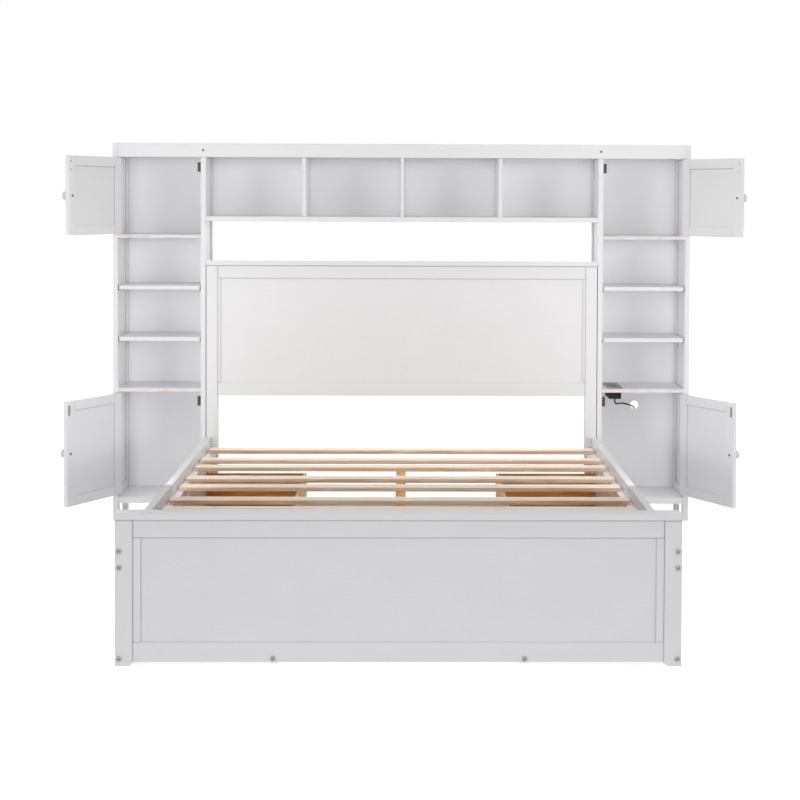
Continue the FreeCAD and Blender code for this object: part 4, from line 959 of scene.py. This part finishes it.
@dataclass
class Towers:
    """The two cabinet towers and the bridge of cubbies between them."""

    edge_mm: float = 1.2
    back_edge_mm: float = 0.5
    shelf_edge_mm: float = 0.8
    pin_edge_mm: float = 0.4
    catch_edge_mm: float = 0.8
    leaf_edge_mm: float = 0.15
    gap_mm: float = 0.35
    front: float = 1.021
    outer_face: float = 1.182
    underside_of_top: float = 1.5
    painted: tuple[str, ...] = ("left_outer_side", "left_inner_side", "right_inner_side", "right_outer_side",
                                "top_fascia", "top_boards", "bridge_floor", "bridge_dividers", "loose_shelves")
    backs: tuple[str, ...] = ("left_back_panel", "right_back_panel", "bridge_back_panel")
    thin_shelves: tuple[tuple[float, float], ...] = ((0.534, 0.547), (1.169, 1.182))
    fascia_screws: tuple[float, ...] = (-0.820, 0.820)
    fascia_screw_height: float = 1.5315
    screw_profile: tuple[tuple[float, float], ...] = ((0.0, -0.002), (0.0042, -0.002), (0.0046, 0.0),
                                                      (0.0042, 0.0004), (0.0, 0.0006))

    def inner_face(self, middle: Vector, normal: Vector) -> int:
        """Material 1, the lighter paint that lifts their shade as painted light, on the walls and floors within a
        cabinet or cubby, and 0 elsewhere.
        """
        wall = abs(normal.x) > ALONG_AXIS and abs(middle.x) < self.outer_face
        return int(wall or (normal.z > ALONG_AXIS and middle.z < self.underside_of_top))

    def raw_front(self, middle: Vector, normal: Vector) -> int:
        """Material 2 on the front edges of the thin fixed shelves, and a board's material elsewhere."""
        thin = any(low <= middle.z <= high for low, high in self.thin_shelves)
        at_front = normal.y < -ALONG_AXIS and middle.y < self.front + MM
        return 2 if thin and at_front else self.inner_face(middle, normal)

    def build(self, paints: Paints) -> None:
        """Make the boards with eased edges, and the pins, catches and hinge leaves.

        Args:
            paints: the materials.
        """
        for seed, node in enumerate(self.painted, start=Seed.TOWERS):
            piece(f"{node}_board", eased_node(node, self.edge_mm, seed, self.inner_face, self.gap_mm), ROOT,
                  [paints.white, paints.inside], [node])
        for seed, node in enumerate(self.backs, start=Seed.BACKS):
            piece(f"{node}_board", eased_node(node, self.back_edge_mm, seed), ROOT, [paints.back],
                  [node])
        mesh = eased_node("fixed_shelves", self.shelf_edge_mm, Seed.FIXED_SHELVES, self.raw_front)
        piece("fixed_shelves_board", mesh, ROOT, [paints.white, paints.inside, paints.edge],
              ["fixed_shelves"])
        small = (("shelf_pins", "shelf_pins_turned", self.pin_edge_mm, "steel", paints.steel),
                 ("magnetic_catches", "catches_moulded", self.catch_edge_mm, "brown_plastic", paints.brown),
                 ("hinge_tower_leaves", "hinge_tower_leaves_bent", self.leaf_edge_mm, "steel", paints.steel))
        for seed, (node, name, edge_mm, slot, finish) in enumerate(small, start=Seed.SMALL_FITTINGS):
            piece(name, eased_node(node, edge_mm, seed), ROOT, [finish], [node])

    def dress(self, paints: Paints, fasteners: Fasteners) -> None:
        """Set the two screws in the fascia.

        Args:
            paints: the materials.
            fasteners: what sets the heads on their seats.
        """
        form = lathe(self.screw_profile, SMALL_STEPS)
        spots = [Vector((x, self.front, self.fascia_screw_height)) for x in self.fascia_screws]
        mesh = fasteners.set("fascia_screws", form, spots, Turn.TO_FOOT, paints.screw)
        piece("fascia_screws", mesh, ROOT, [])


@dataclass
class Door:
    """One cabinet door with its knob and fittings."""

    side: Side
    level: Level
    angle: float
    edge_mm: float = 1.2
    gap_mm: float = 0.35
    axis: tuple[float, float] = (1.1705, 1.018)
    knob_reach: float = 0.3175
    front: float = 0.003
    thickness: float = 0.018
    fitting_edge_mm: float = 0.15
    screw_zone: float = 0.006
    knob_profile: tuple[tuple[float, float], ...] = (
        (0.0, 0.0), (0.0086, 0.0), (0.009, 0.0006), (0.0086, 0.0016), (0.0074, 0.005), (0.007, 0.01), (0.0082, 0.0125),
        (0.0118, 0.0142), (0.0152, 0.0163), (0.0166, 0.0188), (0.0166, 0.021), (0.015, 0.0234), (0.0114, 0.0258),
        (0.0062, 0.0273), (0.0, 0.0277))

    @property
    def name(self) -> str:
        """The door's name, which is also the start of its nodes' names."""
        return f"{self.level.name.lower()}_{self.side.name.lower()}"

    def placed(self) -> Matrix:
        """The door's own space, with its hinge axis up and its closed run along X, in the model's frame."""
        spot = Vector((self.side.value * self.axis[0], self.axis[1], sum(self.level.value) / 2 * MM))
        return Matrix.Translation(spot) @ Matrix.Rotation(math.radians(self.side.value * self.angle), 4, "Z")

    def build(self, paints: Paints, seed: int) -> None:
        """Make the door's boards, its turned knob and its fittings.

        Args:
            paints: the materials.
            seed: what fixes the grain's chance shifts.
        """
        body = f"{self.name}_door"
        piece(f"{body}_boards", eased_node(body, self.edge_mm, seed, gap_mm=self.gap_mm), body,
              [paints.white], [body])
        knob = lathe(self.knob_profile)
        away = Matrix.Translation((-self.side.value * self.knob_reach, self.front, 0))
        knob.transform(self.placed() @ away @ Matrix.Rotation(math.pi / 2, 4, "X"))
        piece(f"{self.name}_knob_turned", grained(knob, seed), body, [paints.white],
              [f"{self.name}_knob"])
        back = self.placed() @ Matrix.Translation((0, self.front + self.thickness, 0))
        inward = back.inverted()

        def knob_screw(middle: Vector, _normal: Vector) -> int:
            """Material 1 on the knob's screw, and 0 on the hinge leaves and strike plate."""
            spot = inward @ middle
            return int(abs(abs(spot.x) - self.knob_reach) < self.screw_zone and abs(spot.z) < self.screw_zone)

        mesh = eased_node(f"{self.name}_hardware", self.fitting_edge_mm, seed, knob_screw)
        piece(f"{self.name}_fittings", mesh, body, [paints.steel, paints.screw], [f"{self.name}_hardware"])


@dataclass
class PowerUnit:
    """The plate with its sockets, the box under the shelf and the grommet."""

    edge_mm: float = 0.6

    def build(self, paints: Paints) -> None:
        """Make the moulded pieces with eased edges.

        Args:
            paints: the materials.
        """
        for node, slot, finish in (("power_plate", "grey_plastic", paints.grey),
                                   ("power_sockets", "black_plastic", paints.dark),
                                   ("power_box", "black_plastic", paints.black),
                                   ("cord_grommet", "black_plastic", paints.black)):
            piece(f"{node}_moulded", eased_node(node, self.edge_mm, Seed.POWER_UNIT), ROOT, [finish], [node])


@dataclass
class MainsLead:
    """The mains lead: its route to the floor, its put-away coil, the tie and the plug."""

    diameter: float = 0.006
    length: float = 1.83
    route_mm: tuple[tuple[float, float, float], ...] = (
        (891.5, 1085, 500), (891.5, 1085, 493.5), (892.6, 1087, 487.4), (894.7, 1090.9, 482.6), (897.9, 1096.7, 479.2),
        (903.6, 1107.1, 477.1), (914, 1126.4, 476.6), (932, 1159.5, 473), (953, 1198.1, 466), (973.7, 1235.8, 456),
        (997, 1278, 445), (1008, 1310, 426), (1014, 1326, 392), (1017, 1331, 340), (1018.5, 1332.5, 270),
        (1019, 1333, 195), (1017.5, 1332, 122), (1011, 1330, 62), (998, 1328, 26), (968, 1325.6, 6.8), (937, 1325, 4.8),
    )
    coil_centre_mm: tuple[float, float] = (905.0, 1283.75)
    coil_inner_mm: float = 24.75
    coil_pitch_mm: float = 6.6
    coil_turns: int = 5
    coil_low_mm: float = 4.8
    lead_in_mm: float = 6.0
    tail_mm: float = 15.0
    per_turn: int = 16
    tie_edge_mm: float = 0.3
    plug_edge_mm: float = 0.5
    blade_end: float = 0.8299

    def coil_points(self) -> list[Vector]:
        """Points of the coil, which spirals in on the floor, climbs and spirals out again.

        Returns:
            The points in metres, a sixteenth of a turn apart.
        """
        # a curve of order 3 runs inside its points, so they stand out by this share
        swell = 1 / (0.75 + 0.25 * math.cos(2 * math.pi / self.per_turn))
        points: list[Vector] = []
        for k in range(self.coil_turns * self.per_turn + 1):
            turn = k / self.per_turn - self.coil_turns / 2
            reach = (self.coil_inner_mm + self.coil_pitch_mm * abs(turn)) * swell
            # the middle half turn climbs from the lower layer to the upper, gently at both ends
            climb = min(max(turn * 2 + 0.5, 0.0), 1.0)
            height = self.coil_low_mm + self.coil_pitch_mm * climb * climb * (3 - 2 * climb)
            angle = math.pi / 2 + 2 * math.pi * k / self.per_turn
            points.append(Vector((self.coil_centre_mm[0] + reach * math.cos(angle),
                                  self.coil_centre_mm[1] + reach * math.sin(angle), height)) * MM)
        return points

    def build(self, paints: Paints) -> None:
        """Args:
            paints: the materials.
        """
        coil = self.coil_points()
        start, end = coil[0], coil[-1]
        points = [Vector(p) * MM for p in self.route_mm]
        points += [start + Vector((self.lead_in_mm * MM, 0, 0)), *coil[1:-1], end - Vector((self.tail_mm * MM, 0, 0))]
        curve = bpy.data.curves.new("mains_lead", "CURVE")
        curve.dimensions = "3D"
        curve.bevel_depth = self.diameter / 2
        curve.bevel_resolution = 5
        curve.use_fill_caps = True
        curve.resolution_u = 8
        spline = curve.splines.new("NURBS")
        spline.points.add(len(points) - 1)
        for target, point in zip(spline.points, points):
            target.co = (*point, 1.0)
        spline.order_u = 3
        spline.use_endpoint_u = True
        curve.materials.append(paints.jacket)
        lead = linked("mains_lead", curve)
        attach(lead, ROOT)
        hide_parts("cord_lead", "cord_coil")
        mesh = eased_node("cord_tie", self.tie_edge_mm, Seed.CORD_TIE)
        tie = piece("cord_tie_strap", mesh, ROOT, [paints.black], ["cord_tie"])
        mesh = eased_node("mains_plug", self.plug_edge_mm, Seed.PLUG, self.blade)
        plug = piece("mains_plug_moulded", mesh, ROOT, [paints.black, paints.steel], ["mains_plug"])
        log.info("mains_lead: %d points", len(points))

    def blade(self, middle: Vector, _normal: Vector) -> int:
        """Material 1 on the plug's blades, and 0 on its moulding."""
        return int(middle.x < self.blade_end)


@dataclass
class Studio:
    """The camera, the light and the white floor."""

    eye: tuple[float, float, float] = (0.0184, -5.661, 1.3409)
    turn: tuple[float, float, float] = (-0.809, -1.574, 0.228)
    lens: float = 72.855
    axis_point: tuple[float, float] = (429.53, 241.77)
    picture: float = 800.0
    sensor_mm: float = 36.0
    far_clip: float = 200.0
    floor_reach: float = 60.0
    world_fill: float = 0.12
    floor_glow: float = 0.78

    def camera(self) -> None:
        """Stand the camera at the foot of the bed, nearly level, with its lens shifted down."""
        data = bpy.data.cameras.new("camera")
        data.sensor_width = self.sensor_mm
        data.lens = self.lens
        data.shift_x = (self.picture / 2 - self.axis_point[0]) / self.picture
        data.shift_y = (self.axis_point[1] - self.picture / 2) / self.picture
        data.clip_end = self.far_clip
        camera = linked("camera", data)
        camera.location = self.eye
        yaw, pitch, roll = (math.radians(angle) for angle in self.turn)
        camera.rotation_euler = (Matrix.Rotation(yaw, 3, "Z") @ Matrix.Rotation(math.pi / 2 + pitch, 3, "X")
                                 @ Matrix.Rotation(roll, 3, "Z")).to_euler()
        bpy.context.scene.camera = camera

    def sun(self, name: str, strength: float, spread: float, aim: tuple[float, float, float]) -> None:
        """Add a wide soft sun.

        Args:
            name: the lamp's name.
            strength: its irradiance.
            spread: its angle in degrees.
            aim: which way its light goes.
        """
        data = bpy.data.lights.new(name, "SUN")
        data.energy = strength
        data.angle = math.radians(spread)
        linked(name, data).rotation_euler = Vector(aim).to_track_quat("-Z", "Y").to_euler()

    def panel(self, name: str, power: float, spot: tuple[float, float, float], reach: tuple[float, float],
              aim: tuple[float, float, float]) -> None:
        """Add a soft panel that the camera doesn't see.

        Args:
            name: the lamp's name.
            power: its power.
            spot: its middle.
            reach: its width and height.
            aim: which way it looks.
        """
        data = bpy.data.lights.new(name, "AREA")
        data.energy = power
        data.shape = "RECTANGLE"
        data.size, data.size_y = reach
        panel = linked(name, data)
        panel.location = spot
        panel.rotation_euler = Vector(aim).to_track_quat("-Z", "Y").to_euler()
        panel.visible_camera = False

    def seen_white(self, tree: bpy.types.NodeTree, other: bpy.types.NodeSocket,
                   seen: bpy.types.NodeSocket) -> bpy.types.NodeSocket:
        """Choose a shader for what the camera, gloss and glass see.

        Args:
            tree: the node tree.
            other: the shader that lights the object.
            seen: the shader that shows.

        Returns:
            The chosen shader.
        """
        path = add(tree, "ShaderNodeLightPath").outputs
        first = maths(tree, "MAXIMUM", path["Is Camera Ray"], path["Is Glossy Ray"])
        every = maths(tree, "MAXIMUM", first, path["Is Transmission Ray"])
        return add(tree, "ShaderNodeMixShader", {0: every, 1: other, 2: seen}).outputs[0]

    def surroundings(self) -> None:
        """A white world that lights the bed evenly, and a white floor that keeps its shadow."""
        world = bpy.data.worlds.new("studio")
        bpy.context.scene.world = world
        world.use_nodes = True
        tree = world.node_tree
        tree.nodes.clear()
        fill = add(tree, "ShaderNodeBackground", {"Color": linear("#FFFFFF"), "Strength": self.world_fill})
        seen = add(tree, "ShaderNodeBackground", {"Color": linear("#FFFFFF"), "Strength": 1.0})
        add(tree, "ShaderNodeOutputWorld", {0: self.seen_white(tree, fill.outputs[0], seen.outputs[0])})
        material = bpy.data.materials.new("white_studio_floor")
        material.use_nodes = True
        tree = material.node_tree
        tree.nodes.clear()
        paper = add(tree, "ShaderNodeBsdfDiffuse", {"Color": linear("#E6E6E6")})
        glow = add(tree, "ShaderNodeEmission", {"Color": linear("#FFFFFF"), "Strength": self.floor_glow})
        lit = add(tree, "ShaderNodeAddShader", {0: paper.outputs[0], 1: glow.outputs[0]})
        add(tree, "ShaderNodeOutputMaterial", {0: self.seen_white(tree, paper.outputs[0], lit.outputs[0])})
        mesh = bpy.data.meshes.new("floor")
        reach = self.floor_reach
        mesh.from_pydata([(-reach, -reach, 0), (reach, -reach, 0), (reach, reach, 0), (-reach, reach, 0)], [],
                         [(0, 1, 2, 3)])
        mesh.materials.append(material)
        floor = linked("floor", mesh)

    def build(self) -> None:
        """Set up the studio."""
        self.camera()
        self.surroundings()
        self.sun("front_light", 0.47, 12, (0.0, 1.0, -0.03))
        self.sun("key_light", 0.1, 12, (0.04, 1.0, -0.9))
        self.sun("top_light", 1.2, 45, (0.03, 0.15, -1.0))
        self.sun("back_light", 0.8, 40, (0.0, -1.0, -0.25))
        self.panel("fill_over_the_bed", 1.0, (0.0, -1.1, 1.35), (3.0, 1.3), (0.0, 1.0, -0.05))
        for side in (-1.0, 1.0):
            self.sun(f"corner_light_{side:+.0f}", 0.74, 20, (side, 1.0, -0.04))
            self.sun(f"side_light_{side:+.0f}", 0.5, 40, (side, 0.25, -0.1))
            self.panel(f"fill_by_a_tower_{side:+.0f}", 3.0, (side, -0.1, 0.95), (0.6, 1.2), (0.0, 1.0, 0.0))
        bpy.context.scene.view_settings.view_transform = "Standard"


@dataclass
class Bedroom:
    """The whole piece of furniture."""

    doors: list[Door] = field(default_factory=lambda: [
        Door(Side.LEFT, Level.UPPER, 117.0), Door(Side.LEFT, Level.LOWER, 119.0),
        Door(Side.RIGHT, Level.UPPER, 123.5), Door(Side.RIGHT, Level.LOWER, 118.5)])

    def build(self) -> None:
        """Build and dress every sub-assembly."""
        Studio().build()
        paints = Paints()
        fasteners = Fasteners()
        MainsLead().build(paints)
        bed = BedFrame()
        bed.build(paints)
        bed.dress(paints, fasteners)
        Slats().build(paints)
        Drawers().build(paints)
        towers = Towers()
        towers.build(paints)
        towers.dress(paints, fasteners)
        for seed, door in enumerate(self.doors, start=Seed.DOORS):
            door.build(paints, seed)
        PowerUnit().build(paints)


def main() -> None:
    """Build the bed."""
    logging.basicConfig(level=logging.INFO, format="%(name)s %(message)s")
    Bedroom().build()


if __name__ == "__main__":
    main()
